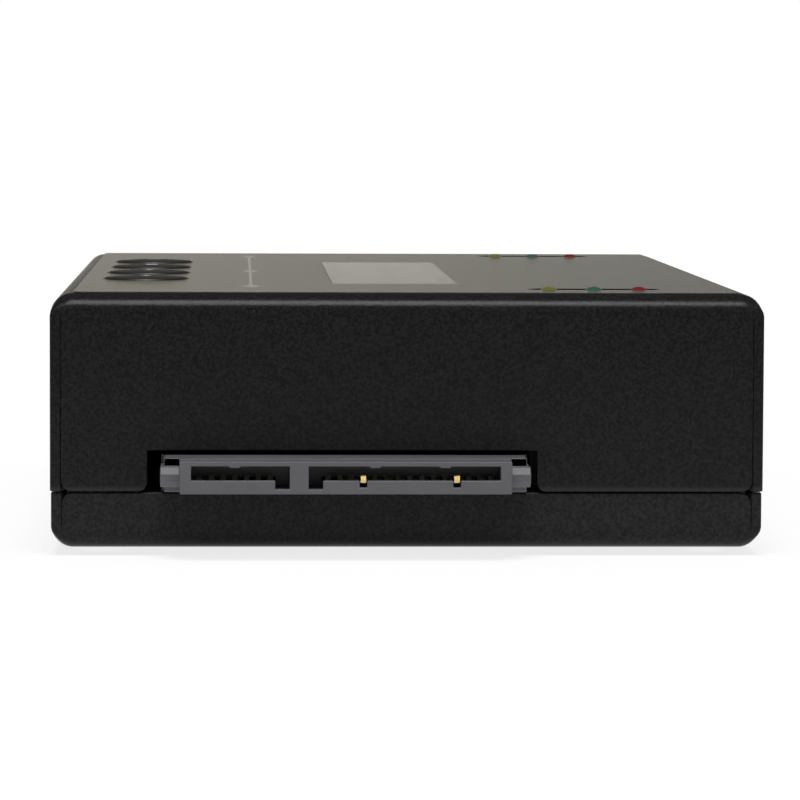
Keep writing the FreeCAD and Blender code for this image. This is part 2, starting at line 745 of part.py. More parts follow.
def make_lamps():
    """Six round lamps with wire legs, standing in two tall spacers."""
    leg_length = f"({LAMP_BASE} - {BOARD_TOP})"
    leg_hole = "(lamp_leg + 2 * fit_gap)"
    for end, side in (("front", "-"), ("rear", "")):
        y = f"{side}{LAMP_Y}"
        for colour, step in (("yellow", -1), ("green", 0), ("red", 1)):
            lamp = new_body(f"{end}_lamp_{colour}", f"{LAMP_X} + {step} * lamp_pitch", y, LAMP_BASE)
            barrel = primitive(lamp, "Prism", ("0", "0", "0"), sides=CAN_SIDES, Circumradius="lamp_radius",
                               Height="lamp_height")
            ease_edges(barrel, "lamp_chamfer", "Chamfer", z=[value("lamp_height")])
            legs = new_sketch(lamp, "legs")
            for leg in ("-", ""):
                middle_rectangle(legs, f"{leg}lamp_leg_pitch / 2", "0", "lamp_leg", "lamp_leg")
            pad(legs, leg_length, backwards=True)

        length = "(2 * lamp_pitch + 2 * lamp_spacer_end)"
        spacer = block(f"{end}_lamp_spacer", LAMP_X, y, BOARD_TOP, length, "lamp_spacer_width", leg_length)
        holes = new_sketch(spacer, "leg_holes")
        for step in (-1, 0, 1):
            for leg in ("-", "+"):
                x = f"({step} * lamp_pitch {leg} lamp_leg_pitch / 2)"
                middle_rectangle(holes, x, "0", leg_hole, leg_hole)
        pocket(holes, leg_length, forwards=True)


def port_blocks(body):
    """The port's outer form: mouth, shoulder, guide horns with pyramid tips, and seat on the board."""
    mouth = new_sketch(body, "mouth", "XZ_Plane", "port_reach")
    rectangle(mouth, f"-{MOUTH_X}", MOUTH_X, "mouth_lift", MOUTH_TOP)
    pad(mouth, f"port_reach + {PORT_BACK}", backwards=True)
    shoulder = new_sketch(body, "shoulder", "XZ_Plane", "port_reach - shoulder_setback")
    shoulder_x = f"({MOUTH_X} + shoulder_width)"
    rectangle(shoulder, f"-{shoulder_x}", shoulder_x, "mouth_lift", "shoulder_height")
    pad(shoulder, f"port_reach - shoulder_setback + {PORT_BACK}", backwards=True)
    horn_x = f"({MOUTH_X} + horn_width)"
    horns = new_sketch(body, "horns", "XZ_Plane", "port_reach - horn_setback")
    horn_top = "horn_low + horn_height"
    rectangle(horns, MOUTH_X, horn_x, "horn_low", horn_top)
    rectangle(horns, f"-{horn_x}", f"-{MOUTH_X}", "horn_low", horn_top)
    tips = pad(horns, f"port_reach - horn_setback + {PORT_BACK}", backwards=True)
    ease_edges(tips, "horn_chamfer", "Chamfer", y=[-value("port_reach - horn_setback")],
               z=[value("horn_low"), value(horn_top)])
    seat = new_sketch(body, "seat", "XZ_Plane", f"-{PORT_SEAT}")
    rectangle(seat, f"-{horn_x}", horn_x, "0", "shoulder_height")
    pad(seat, "seat_depth", backwards=True)


def make_port_housing(label, *place):
    """A receptacle moulding: two L-keyed openings over a contact carrier with a slot for every contact."""
    body = new_body(label, *place)
    port_blocks(body)

    inner_top = f"({MOUTH_TOP} - mouth_top_wall)"
    floor = "(mouth_lift + key_floor)"
    signal_left = f"(mouth_end_wall - {MOUTH_X})"
    signal_right = f"({DIVIDER_X} - divider_width / 2)"
    power_left = f"({DIVIDER_X} + divider_width / 2)"
    power_right = f"({MOUTH_X} - mouth_end_wall)"
    openings = new_sketch(body, "openings", "XZ_Plane", "port_reach")
    outline(openings, [
        (signal_left, CARRIER),
        (f"{signal_right} - key_width", CARRIER),
        (f"{signal_right} - key_width", floor),
        (signal_right, floor),
        (signal_right, inner_top),
        (signal_left, inner_top),
    ])
    outline(openings, [
        (power_left, floor),
        (f"{power_left} + key_width", floor),
        (f"{power_left} + key_width", CARRIER),
        (power_right, CARRIER),
        (power_right, inner_top),
        (power_left, inner_top),
    ])
    pocket(openings, "mouth_depth")

    ribs = new_sketch(body, "ribs", "XZ_Plane", "port_reach")
    rib_middle = f"({inner_top} - rib_height / 2)"
    for x in (f"({SIGNAL_FIRST} + 3 * contact_pitch)", f"({POWER_FIRST} + 4 * contact_pitch)",
              f"({POWER_FIRST} + 10 * contact_pitch)"):
        middle_rectangle(ribs, x, rib_middle, "rib_width", "rib_height")
    pad(ribs, "mouth_depth", backwards=True)

    slot_run = f"{PORT_BACK} + port_reach - contact_setback + contact_gap"
    slot_width = "(contact_width + 2 * contact_gap)"
    slot_middle = f"({CARRIER} - slot_depth / 2)"
    sections = (("signal", SIGNAL_FIRST, "signal_contacts"), ("power", POWER_FIRST, "power_contacts"))
    for name, first, count in sections:
        slots = new_sketch(body, f"{name}_slots", "XZ_Plane", f"-{PORT_BACK}")
        middle_rectangle(slots, first, slot_middle, slot_width, "slot_depth")
        repeat(pocket(slots, slot_run, forwards=True), count, "contact_pitch")
    mates = new_sketch(body, "first_mate_slots", "XZ_Plane", "port_reach")
    for step in FIRST_MATES:
        x = f"({POWER_FIRST} + {step} * contact_pitch)"
        middle_rectangle(mates, x, slot_middle, slot_width, "slot_depth")
    pocket(mates, "contact_setback + contact_gap")


def make_contacts(label, first, count, first_mates, *place):
    """A row of spring contacts: leg on the board, shank in its slot, raised bend and tip."""
    body = new_body(label, *place)
    low = f"({CARRIER} - slot_depth + contact_gap)"
    bend = "(contact_bend_setback - port_reach)"
    tip = "(contact_setback - port_reach)"
    riser = f"({PORT_BACK} + contact_gap)"
    crest = f"({CARRIER} + contact_rise)"
    tip_top = f"({CARRIER} - contact_gap)"
    profile = new_sketch(body, "profile", "YZ_Plane", first)
    outline(profile, [
        (f"{riser} + contact_thickness", "0"),
        (f"{riser} + contact_thickness", f"{low} + contact_thickness"),
        (MOUTH_FLOOR, f"{low} + contact_thickness"),
        (bend, crest),
        (tip, tip_top),
        (tip, f"{tip_top} - contact_thickness"),
        (bend, f"{crest} - contact_thickness"),
        (MOUTH_FLOOR, low),
        (riser, low),
        (riser, "0"),
    ])
    repeat(pad(profile, "contact_width", symmetric=True), count, "contact_pitch")
    for number, step in enumerate(first_mates):
        longer = new_sketch(body, f"first_mate_{number}", "YZ_Plane", f"{first} + {step} * contact_pitch")
        front = "(first_mate_setback - port_reach)"
        outline(longer, [
            (bend, crest),
            (f"{front} + contact_thickness", crest),
            (front, f"{CARRIER} + contact_gap"),
            (front, tip_top),
            (bend, f"{crest} - contact_thickness"),
        ])
        pad(longer, "contact_width", symmetric=True)


def make_ports():
    """The front port, and the same port turned half round at the rear."""
    places = {
        "front": ("-port_offset", f"-{HALF_LENGTH}", BOARD_TOP, False),
        "rear": ("port_offset", HALF_LENGTH, BOARD_TOP, True),
    }
    for end, place in places.items():
        make_port_housing(f"{end}_port_housing", *place)
        make_contacts(f"{end}_signal_contacts", SIGNAL_FIRST, "signal_contacts", (), *place)
        make_contacts(f"{end}_power_contacts", POWER_FIRST, "power_contacts", FIRST_MATES, *place)


def make_power_jack():
    """Round power inlet behind a hole in the right-hand flange, with its pin and spring."""
    housing = new_body("power_jack_housing", JACK_FACE, JACK_Y, BOARD_TOP)
    front = new_sketch(housing, "front", "YZ_Plane")
    rectangle(front, "-jack_width / 2", "jack_width / 2", "0", "jack_height")
    solid = pad(front, "jack_depth", backwards=True)
    half = value("jack_width / 2")
    ease_edges(solid, "jack_corner", y=[-half, half], z=[value("jack_height")])
    bore = new_sketch(housing, "bore", "YZ_Plane")
    circle(bore, "0", "jack_axis", "jack_bore")
    pocket(bore, "jack_bore_depth")
    groove = new_sketch(housing, "groove", "YZ_Plane")
    groove_floor = "jack_axis - jack_bore - jack_spring_thickness - fit_gap"
    rectangle(groove, "-jack_spring_width / 2 - fit_gap", "jack_spring_width / 2 + fit_gap",
              groove_floor, "jack_axis - jack_bore / 2")
    pocket(groove, "jack_bore_depth")

    pin = new_body("power_jack_pin", f"{JACK_FACE} - jack_bore_depth", JACK_Y, f"{BOARD_TOP} + jack_axis")
    section = new_sketch(pin, "section", "YZ_Plane")
    circle(section, "0", "0", "jack_pin_radius")
    pad(section, "jack_bore_depth - jack_pin_setback")

    spring = new_body("power_jack_spring", f"{JACK_FACE} - jack_bore_depth", JACK_Y, BOARD_TOP)
    strip = new_sketch(spring, "strip", "YZ_Plane")
    rectangle(strip, "-jack_spring_width / 2", "jack_spring_width / 2", groove_floor,
              f"{groove_floor} + jack_spring_thickness")
    pad(strip, "jack_bore_depth - 2 * jack_pin_setback")


def make_power_switch():
    """Slide switch: an open-backed frame, a terminal base in its back and the knob between them."""
    middle_z = "(power_frame_height / 2)"
    slot_length = "(knob_length + knob_travel + 2 * knob_gap)"
    slot_height = "(knob_height + 2 * knob_gap)"
    block_length = "(knob_length + 2 * knob_block_margin)"
    block_height = "(knob_height + 2 * knob_block_margin)"
    room_length = f"({block_length} + knob_travel + 2 * knob_gap)"
    room_height = f"({block_height} + 2 * knob_gap)"

    frame = new_body("power_switch_frame", JACK_FACE, "power_switch_y", BOARD_TOP)
    front = new_sketch(frame, "front", "YZ_Plane")
    rectangle(front, "-power_frame_length / 2", "power_frame_length / 2", "0", "power_frame_height")
    pad(front, "power_frame_depth", backwards=True)
    slot = new_sketch(frame, "slot", "YZ_Plane")
    middle_rectangle(slot, "0", middle_z, slot_length, slot_height)
    pocket(slot, "2 * power_frame_wall")
    room = new_sketch(frame, "room", "YZ_Plane", "-power_frame_depth")
    middle_rectangle(room, "0", middle_z, room_length, room_height)
    pocket(room, "power_frame_depth - power_frame_wall", forwards=True)

    base = new_body("power_switch_base", f"{JACK_FACE} - power_frame_depth", "power_switch_y", BOARD_TOP)
    plate = new_sketch(base, "plate", "YZ_Plane")
    middle_rectangle(plate, "0", middle_z, f"({room_length} - fit_gap)", f"({room_height} - fit_gap)")
    pad(plate, "power_base_depth")

    knob = new_body("power_switch_knob", JACK_FACE, "power_switch_y - knob_travel / 2",
                    f"{BOARD_TOP} + {middle_z}")
    slider = new_sketch(knob, "slider", "YZ_Plane", "-power_frame_wall - knob_gap")
    middle_rectangle(slider, "0", "0", block_length, block_height)
    pad(slider, "power_frame_depth - power_frame_wall - power_base_depth - 2 * knob_gap", backwards=True)
    stub = new_sketch(knob, "stub", "YZ_Plane", "-power_frame_wall - knob_gap")
    middle_rectangle(stub, "0", "0", "knob_length", "knob_height")
    pad(stub, "power_frame_wall + knob_gap + fit_gap + sheet + knob_rise")


def make_heat_sink():
    """Finned heat sink on the controller chip."""
    sink = block("heat_sink", "chip_x", "chip_y", f"{BOARD_TOP} + chip_height", "heat_sink_side",
                 "heat_sink_side", "(heat_sink_base + heat_sink_fin)")
    gap = "(heat_sink_side / (2 * heat_sink_fins - 1))"
    grooves = new_sketch(sink, "grooves", "XZ_Plane", "heat_sink_side / 2")
    rectangle(grooves, f"{gap} - heat_sink_side / 2", f"2 * {gap} - heat_sink_side / 2",
              "heat_sink_base", "heat_sink_base + heat_sink_fin")
    repeat(pocket(grooves, "heat_sink_side"), "heat_sink_fins - 1", f"2 * {gap}")


def make_electronics():
    """The chips and power parts that stand on the main board."""
    block("controller_chip", "chip_x", "chip_y", BOARD_TOP, "chip_side", "chip_side", "chip_height")
    make_heat_sink()
    block("memory_chip", "chip_x", "memory_y", BOARD_TOP, "memory_width", "memory_length", "memory_height")
    block("crystal", "chip_x", "crystal_y", BOARD_TOP, "crystal_length", "crystal_width", "crystal_height")
    block("inductor", INDUCTOR_X, "inductor_y", BOARD_TOP, "inductor_side", "inductor_side",
          "inductor_height")
    block("voltage_regulator", "regulator_x", "regulator_y", BOARD_TOP, "regulator_side", "regulator_side",
          "regulator_height")

    cans = new_body("filter_capacitors", CAPACITOR_X, "capacitor_y", BOARD_TOP)
    for step in (0, 1, 2):
        primitive(cans, "Prism", ("0", f"{step} * capacitor_pitch", "0"), sides=CAN_SIDES,
                  Circumradius="capacitor_radius", Height="capacitor_height")

    buzzer = new_body("buzzer", "buzzer_x", "buzzer_y", BOARD_TOP)
    primitive(buzzer, "Prism", ("0", "0", "0"), sides=CAN_SIDES, Circumradius="buzzer_radius",
              Height="buzzer_height")
    primitive(buzzer, "Prism", ("0", "0", "buzzer_height / 2"), cut=True, sides=BORE_SIDES,
              Circumradius="buzzer_port", Height="buzzer_height / 2")


def check_and_export():
    """Stop on any failed object or broken shape, then write one file per sub-part."""
    doc.recompute()
    for item in doc.Objects:
        if "Invalid" in item.State or "Error" in item.State:
            raise RuntimeError(f"{item.Name} failed: {item.State}")
    for body in sub_parts:
        if body.Shape.isNull() or not body.Shape.isValid() or not body.Shape.Solids:
            raise RuntimeError(f"{body.Label} has no valid solid")
    os.makedirs("parts", exist_ok=True)
    for body in sub_parts:
        body.Shape.exportStep(os.path.join("parts", f"{body.Label}.step"))


make_top_cover()
make_bottom_tray()
make_rubber_feet()
make_case_fasteners()
board("main_board", "0", "0", BOARD_TOP, f"(2 * {BOARD_EDGE_X})", f"(2 * {BOARD_EDGE_Y})",
      corners(PILLAR_X, PILLAR_Y), "thread_radius + fit_gap")
make_overlay()
make_display()
header_pair("display", f"(display_x + {MODULE_HOLE_X})", DISPLAY_PINS_Y, "display_pins", MODULE_BASE)
make_buttons()
header_pair("button", BUTTON_X, "button_middle_y", "button_pins", BUTTON_BOARD_BASE)
make_lamps()
make_ports()
make_power_jack()
make_power_switch()
make_electronics()
check_and_export()
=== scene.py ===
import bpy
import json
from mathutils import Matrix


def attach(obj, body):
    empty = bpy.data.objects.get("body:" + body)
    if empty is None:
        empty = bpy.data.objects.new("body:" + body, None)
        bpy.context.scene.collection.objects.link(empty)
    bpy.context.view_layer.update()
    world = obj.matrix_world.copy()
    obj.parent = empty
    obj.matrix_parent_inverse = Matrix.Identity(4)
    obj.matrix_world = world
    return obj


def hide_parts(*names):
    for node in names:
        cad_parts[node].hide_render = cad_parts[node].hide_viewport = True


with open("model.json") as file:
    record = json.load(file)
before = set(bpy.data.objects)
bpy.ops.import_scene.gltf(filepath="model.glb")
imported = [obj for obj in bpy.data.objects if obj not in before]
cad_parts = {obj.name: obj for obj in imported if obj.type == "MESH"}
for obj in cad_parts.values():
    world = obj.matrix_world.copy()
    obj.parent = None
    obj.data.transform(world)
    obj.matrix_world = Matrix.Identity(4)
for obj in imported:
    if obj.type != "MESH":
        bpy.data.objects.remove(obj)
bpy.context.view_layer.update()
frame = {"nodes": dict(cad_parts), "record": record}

import json
import logging
import math
from collections.abc import Callable
from dataclasses import dataclass, field
from enum import Enum, IntEnum, StrEnum
from functools import cached_property, reduce

import bmesh
import bpy
import numpy as np
from mathutils import Matrix, Vector
from mathutils.geometry import delaunay_2d_cdt

# The looks of a two-port drive duplicator. Sizes are in millimetres in the part's own frame:
# X across the front panel, Y from the front panel to the rear one, Z up from the feet.

log = logging.getLogger("drive_duplicator")

MM = 0.001
# Points nearer than this many millimetres are one point.
WELD = 1e-4
# Directions nearer than this many radians are one.
ANGLE_TOUCH = 1e-4
# Two edges of a flat triangulation nearer than this are one.
FLAT_TOUCH = 1e-6
# The kind of triangulation that keeps to its outline.
INSIDE_OUTLINE = 1
# Edges that turn more than this many degrees are sharp, on pieces and on sheet.
CREASE = 35.0
SHEET_CREASE = 40.0
# Faces that turn less than this many degrees lie in one plane.
FLAT_TURN = 1.0
# Faces across an eased edge.
EDGE_FACES = 2

# Middles of the caps and of the lamp rows, which the case shares with them.
BUTTON_X = -29.45
BUTTON_PLACES = (-24.3, -7.3, 9.7, 26.7)
LAMP_X = 21.25
LAMP_Y = 50.2

Colour = tuple[float, float, float]
Place = tuple[float, float]
Number = "Signal | float"


class Body(StrEnum):
    """The bodies that pieces ride on, apart from the buttons."""

    HOUSING = "housing"
    POWER_SWITCH = "power_switch"


class Legend(Enum):
    """Marks printed on the caps, from the front one to the rear one."""

    DOWN = 0
    UP = 1
    STOP = 2
    START = 3


class LampColour(StrEnum):
    """Colours of the status lamps, from left to right."""

    YELLOW = "yellow"
    GREEN = "green"
    RED = "red"


class Cell(IntEnum):
    """What a folded shell has between one column of its flange and the next."""

    SHEET = 0
    SEAM = 1
    NOTCH = 2
    PATCH = 3


# ---------------------------------------------------------------- shader sums


def operator(kind: str, swapped: bool = False) -> Callable[..., "Signal"]:
    """Make an operator for varying numbers.

    Args:
        kind: Operation of the Math node that it adds.
        swapped: Whether the other number comes first.

    Returns:
        The operator. An operation on one number takes no other.
    """
    def act(number: "Signal", other: Number = 0.0) -> "Signal":
        """Add the operation's node."""
        return number.tree.math(kind, other, number) if swapped else number.tree.math(kind, number, other)
    return act


class Signal:
    """A number that varies over a surface, as a node socket that takes part in sums."""

    def __init__(self, tree: "ShaderTree", socket: bpy.types.NodeSocket) -> None:
        """Wrap an output of one of a tree's nodes."""
        self.tree = tree
        self.socket = socket

    __add__ = __radd__ = operator("ADD")
    __mul__ = __rmul__ = operator("MULTIPLY")
    __sub__ = operator("SUBTRACT")
    __rsub__ = operator("SUBTRACT", swapped=True)
    __truediv__ = operator("DIVIDE")
    __mod__ = operator("FLOORED_MODULO")
    __abs__ = operator("ABSOLUTE")
    __lt__ = operator("LESS_THAN")
    __gt__ = operator("GREATER_THAN")
    most = operator("MAXIMUM")

    def ramp(self, low: float, high: float) -> "Signal":
        """A smooth rise from zero at the low value to one at the high value."""
        eased = self.tree.node("ShaderNodeMapRange", {"interpolation_type": "SMOOTHSTEP"},
                               {0: self, 1: low, 2: high})
        return Signal(self.tree, eased.outputs[0])


class ShaderTree:
    """Adds the nodes of one material or of the world."""

    def __init__(self, owner: bpy.types.Material | bpy.types.World) -> None:
        """Start with an empty tree.

        Args:
            owner: The material or world whose nodes are made anew.
        """
        owner.use_nodes = True
        self.nodes = owner.node_tree.nodes
        self.links = owner.node_tree.links
        self.nodes.clear()

    def node(self, kind: str, settings: dict | None = None,
             inputs: dict | None = None) -> bpy.types.Node:
        """Add a node.

        Args:
            kind: The node's type.
            settings: Its own settings, which are set first.
            inputs: Values or links for its sockets, by name or by place.

        Returns:
            The node.
        """
        made = self.nodes.new(kind)
        for name, setting in (settings or {}).items():
            setattr(made, name, setting)
        for name, given in (inputs or {}).items():
            if isinstance(given, Signal):
                given = given.socket
            if isinstance(given, bpy.types.NodeSocket):
                self.links.new(given, made.inputs[name])
            else:
                made.inputs[name].default_value = given
        return made

    def math(self, operation: str, first: Number, second: Number = 0.0) -> Signal:
        """The result of a Math node on two numbers."""
        result = self.node("ShaderNodeMath", {"operation": operation}, {0: first, 1: second})
        return Signal(self, result.outputs[0])

    @cached_property
    def places(self) -> tuple[bpy.types.NodeSocket, Signal, Signal, Signal]:
        """The object's own coordinates, as a vector and as x, y and z in millimetres."""
        coordinates = self.node("ShaderNodeTexCoord")
        scaled = self.node("ShaderNodeVectorMath", {"operation": "SCALE"},
                           {0: coordinates.outputs["Object"], "Scale": 1 / MM})
        split = self.node("ShaderNodeSeparateXYZ", None, {0: scaled.outputs[0]})
        return scaled.outputs[0], *(Signal(self, output) for output in split.outputs)

    def noise(self, grain: float, detail: float = 2.0,
              vector: bpy.types.NodeSocket | None = None) -> Signal:
        """Cloudy unevenness from zero to one.

        Args:
            grain: Size of one cloud in millimetres.
            detail: How many finer layers it has.
            vector: Where it is read, in millimetres, or None for the object's own coordinates.

        Returns:
            The pattern.
        """
        at = self.places[0] if vector is None else vector
        cloud = self.node("ShaderNodeTexNoise", None, {"Vector": at, "Scale": 1 / grain, "Detail": detail})
        return Signal(self, cloud.outputs[0])

    def mix(self, share: Number, first: object, second: object) -> bpy.types.NodeSocket:
        """The first colour, with a share of the second over it; each is a colour or a socket."""
        inputs = {0: share, 6: opaque(first), 7: opaque(second)}
        return self.node("ShaderNodeMix", {"data_type": "RGBA"}, inputs).outputs[2]


def opaque(colour: object) -> object:
    """A colour with full opacity, or the socket that was given."""
    return (*colour, 1.0) if isinstance(colour, tuple) else colour


# ---------------------------------------------------------------- finishes


@dataclass(frozen=True)
class Finish:
    """An even material with slight unevenness in tone, sheen and relief."""

    slot: str
    colour: Colour
    roughness: float
    metallic: float = 0.0
    tone_spread: float = 0.12
    tone_grain: float = 6.0
    sheen_spread: float = 0.08
    sheen_grain: float = 1.5
    relief_grain: float = 0.3
    relief_detail: float = 3.0
    relief: float = 0.002
    specular: float = 0.5
    coat: float = 0.0
    coat_roughness: float = 0.05
    transmission: float = 0.0

    def shades(self, spread: float, share: float = 1.0) -> tuple[Colour, ...]:
        """The colour times a share, made darker and lighter by a spread."""
        return tuple(tuple(min(1.0, share * channel * (1 + step)) for channel in self.colour)
                     for step in (-spread, spread))

    def tone(self, tree: ShaderTree) -> bpy.types.NodeSocket:
        """The colour over the surface: the named one, a little darker and lighter in clouds."""
        return tree.mix(tree.noise(self.tone_grain), *self.shades(self.tone_spread))

    def sheen(self, tree: ShaderTree) -> Signal:
        """The roughness over the surface."""
        return self.roughness + self.sheen_spread * (tree.noise(self.sheen_grain) - 0.5)

    def height(self, tree: ShaderTree) -> Signal:
        """The fine relief over the surface, in metres."""
        return (self.relief * MM) * tree.noise(self.relief_grain, self.relief_detail)

    def material(self) -> bpy.types.Material:
        """Make the material.

        Returns:
            A Principled material with this finish.
        """
        made = bpy.data.materials.new(self.slot)
        tree = ShaderTree(made)
        relief = tree.node("ShaderNodeBump", None, {"Distance": 1.0, "Height": self.height(tree)})
        shader = tree.node("ShaderNodeBsdfPrincipled", None, {
            "Base Color": self.tone(tree),
            "Roughness": self.sheen(tree),
            "Metallic": self.metallic,
            "Specular IOR Level": self.specular,
            "Coat Weight": self.coat,
            "Coat Roughness": self.coat_roughness,
            "Transmission Weight": self.transmission,
            "Normal": relief.outputs[0],
        })
        tree.node("ShaderNodeOutputMaterial", None, {0: shader.outputs[0]})
        return made


@dataclass(frozen=True)
class PowderCoat(Finish):
    """Textured powder coat: a pebbled relief, mottled tone, painted glints on the pebbles' peaks, and a
    painted highlight along the cover's foot that stands for the floor's reflection in its rounded edge.
    """

    mottle_grain: float = 0.35
    mottle: float = 0.35
    mottle_ramp: tuple[float, float] = (0.3, 0.7)
    speck_grain: float = 0.2
    speck_detail: float = 1.0
    # Painted glints: the ramp, share and colour below paint the fine pebbles' peaks pale, as if light caught
    # them; the speck relief is real bumps.
    speck_glint_ramp: tuple[float, float] = (0.7, 0.75)
    speck_relief: float = 0.5
    speck_glint_share: float = 0.7
    speck_glint_colour: Colour = (0.05, 0.05, 0.048)
    tray_share: float = 1.35
    tray_top: float = 7.07
    # Painted highlight along the cover's foot, standing for the floor's reflection in its rounded lower
    # edge: its colour, and the heights where it starts and fades out.
    rim_highlight_colour: Colour = (0.026, 0.026, 0.026)
    rim_highlight_base: float = 7.12
    rim_highlight_ramp: tuple[float, float] = (7.37, 7.85)

    def tone(self, tree: ShaderTree) -> bpy.types.NodeSocket:
        """Mottled dark tone, paler on the tray, with painted glints on the pebbles' peaks and a painted
        highlight towards the cover's foot.

        Args:
            tree: The material's tree.

        Returns:
            The colour, as a socket.
        """
        *_, z = tree.places
        clouds = tree.noise(self.mottle_grain).ramp(*self.mottle_ramp)
        cover = tree.mix(clouds, *self.shades(self.mottle))
        tray = tree.mix(clouds, *self.shades(self.mottle, self.tray_share))
        mottled = tree.mix(z < self.tray_top, cover, tray)
        # Painted glints: pale specks on the fine pebbles' peaks.
        speck_glints = tree.noise(self.speck_grain, self.speck_detail).ramp(*self.speck_glint_ramp)
        glinted = tree.mix(self.speck_glint_share * speck_glints, mottled, self.speck_glint_colour)
        # Painted highlight: a pale band up the cover's foot, standing for the floor's reflection in its
        # rounded lower edge.
        rim = (1.0 - z.ramp(*self.rim_highlight_ramp)) * (z > self.rim_highlight_base)
        return tree.mix(rim, glinted, self.rim_highlight_colour)

    def height(self, tree: ShaderTree) -> Signal:
        """Pebbles of two sizes, in metres."""
        fine = tree.noise(self.speck_grain, self.speck_detail)
        return (self.relief * MM) * (tree.noise(self.relief_grain) + self.speck_relief * fine)


@dataclass(frozen=True)
class PrintedFilm(Finish):
    """Overlay film with a printed line along Y, which swells at its stops."""

    ink: Colour = (0.24, 0.24, 0.225)
    line_x: float = -17.15
    line_width: float = 0.35
    stops: tuple[float, ...] = (-44.0, -2.0, 46.0)
    stop_width: float = 2.4
    stop_length: float = 7.0

    def tone(self, tree: ShaderTree) -> bpy.types.NodeSocket:
        """Ink where the line and its stops are, and film elsewhere.

        Args:
            tree: The material's tree.

        Returns:
            The colour, as a socket.
        """
        _, x, y, _ = tree.places
        middle = (self.stops[0] + self.stops[-1]) / 2
        reach = (self.stops[-1] - self.stops[0]) / 2
        aside = abs(x - self.line_x)
        ink = (aside < self.line_width / 2) * (abs(y - middle) < reach)
        for stop in self.stops:
            nearness = 1.0 - abs(y - stop) / (self.stop_length / 2)
            ink = ink.most(aside < self.stop_width / 2 * nearness)
        return tree.mix(ink, super().tone(tree), self.ink)


@dataclass(frozen=True)
class CharacterDisplay(Finish):
    """Character display below its lens: two lines of cells, each a faint matrix of dots."""

    middle_x: float = -0.6
    middle_y: float = -5.0
    cell_colour: Colour = (0.27, 0.265, 0.235)
    columns: int = 16
    column_pitch: float = 3.55
    row_pitch: float = 5.95
    cell_across: float = 2.95
    cell_tall: float = 4.75
    dot_columns: int = 5
    dot_rows: int = 8
    dot_gap: float = 0.12

    def tone(self, tree: ShaderTree) -> bpy.types.NodeSocket:
        """Paler dots inside each cell; characters run along Y and lines are side by side in X.

        Args:
            tree: The material's tree.

        Returns:
            The colour, as a socket.
        """
        _, x, y, _ = tree.places
        reach = self.columns * self.column_pitch / 2
        along = y - (self.middle_y - reach)
        across = x - (self.middle_x - self.row_pitch)
        inside = (abs(y - self.middle_y) < reach) * (abs(x - self.middle_x) < self.row_pitch)
        dots = inside * self.dots(along, self.column_pitch, self.cell_across, self.dot_columns)
        dots = dots * self.dots(across, self.row_pitch, self.cell_tall, self.dot_rows)
        return tree.mix(dots, super().tone(tree), self.cell_colour)

    def dots(self, place: Signal, pitch: float, cell: float, count: int) -> Signal:
        """One where a dot of a cell is, along one direction.

        Args:
            place: Distance from the edge of the first cell's pitch.
            pitch: From one cell to the next.
            cell: Size of a cell.
            count: Dots in a cell.

        Returns:
            One on the dots and zero between them.
        """
        in_cell = place % pitch - (pitch - cell) / 2
        dot = cell / count
        in_dot = abs(in_cell % dot - dot / 2) < (dot - self.dot_gap) / 2
        return (abs(in_cell - cell / 2) < cell / 2) * in_dot


@dataclass(frozen=True)
class CapPlastic(Finish):
    """Black moulding whose top carries a small pale mark, a different one on each cap."""

    ink: Colour = (0.62, 0.62, 0.6)
    mark: float = 0.75
    stroke: float = 0.16
    mark_base: float = 29.0

    def tone(self, tree: ShaderTree) -> bpy.types.NodeSocket:
        """Ink on the mark of each cap: arrow heads, a square and a bar.

        Args:
            tree: The material's tree.

        Returns:
            The colour, as a socket.
        """
        _, x, y, z = tree.places
        ink = 0.0
        for legend, place in zip(Legend, BUTTON_PLACES):
            ink = ink + self.shape(legend, x - BUTTON_X, y - place)
        return tree.mix(ink * (z > self.mark_base), super().tone(tree), self.ink)

    def shape(self, legend: Legend, aside: Signal, along: Signal) -> Signal:
        """One inside a mark.

        Args:
            legend: Which mark.
            aside: Distance across from the cap's middle.
            along: Distance along from the cap's middle.

        Returns:
            One in the ink and zero outside it.
        """
        if legend in (Legend.STOP, Legend.START):
            reach = self.mark if legend is Legend.STOP else self.stroke
            return (abs(aside) < self.mark) * (abs(along) < reach)
        tip = along if legend is Legend.UP else 0.0 - along
        return (abs(aside) < (self.mark - tip) / 2) * (abs(tip) < self.mark)


@dataclass(frozen=True)
class RolledMetal(Finish):
    """Metal with fine lines along Y."""

    metallic: float = 1.0
    line_pitch: float = 0.08

    def sheen(self, tree: ShaderTree) -> Signal:
        """Roughness that changes from line to line."""
        _, x, _, z = tree.places
        lines = tree.node("ShaderNodeCombineXYZ", None, {0: x, 2: z}).outputs[0]
        return self.roughness + self.sheen_spread * (tree.noise(self.line_pitch, vector=lines) - 0.5)


@dataclass(frozen=True)
class ContactPlating(Finish):
    """Plated contacts: dull along the carrier and bright gold on the two that mate first."""

    metallic: float = 1.0
    dull: Colour = (0.75, 0.68, 0.52)
    gold_ramp: tuple[float, float] = (66.3, 66.5)

    def tone(self, tree: ShaderTree) -> bpy.types.NodeSocket:
        """Gold beyond the tips of the other contacts, and the dull tone behind them."""
        beyond = abs(tree.places[2]).ramp(*self.gold_ramp)
        return tree.mix(beyond, self.dull, super().tone(tree))


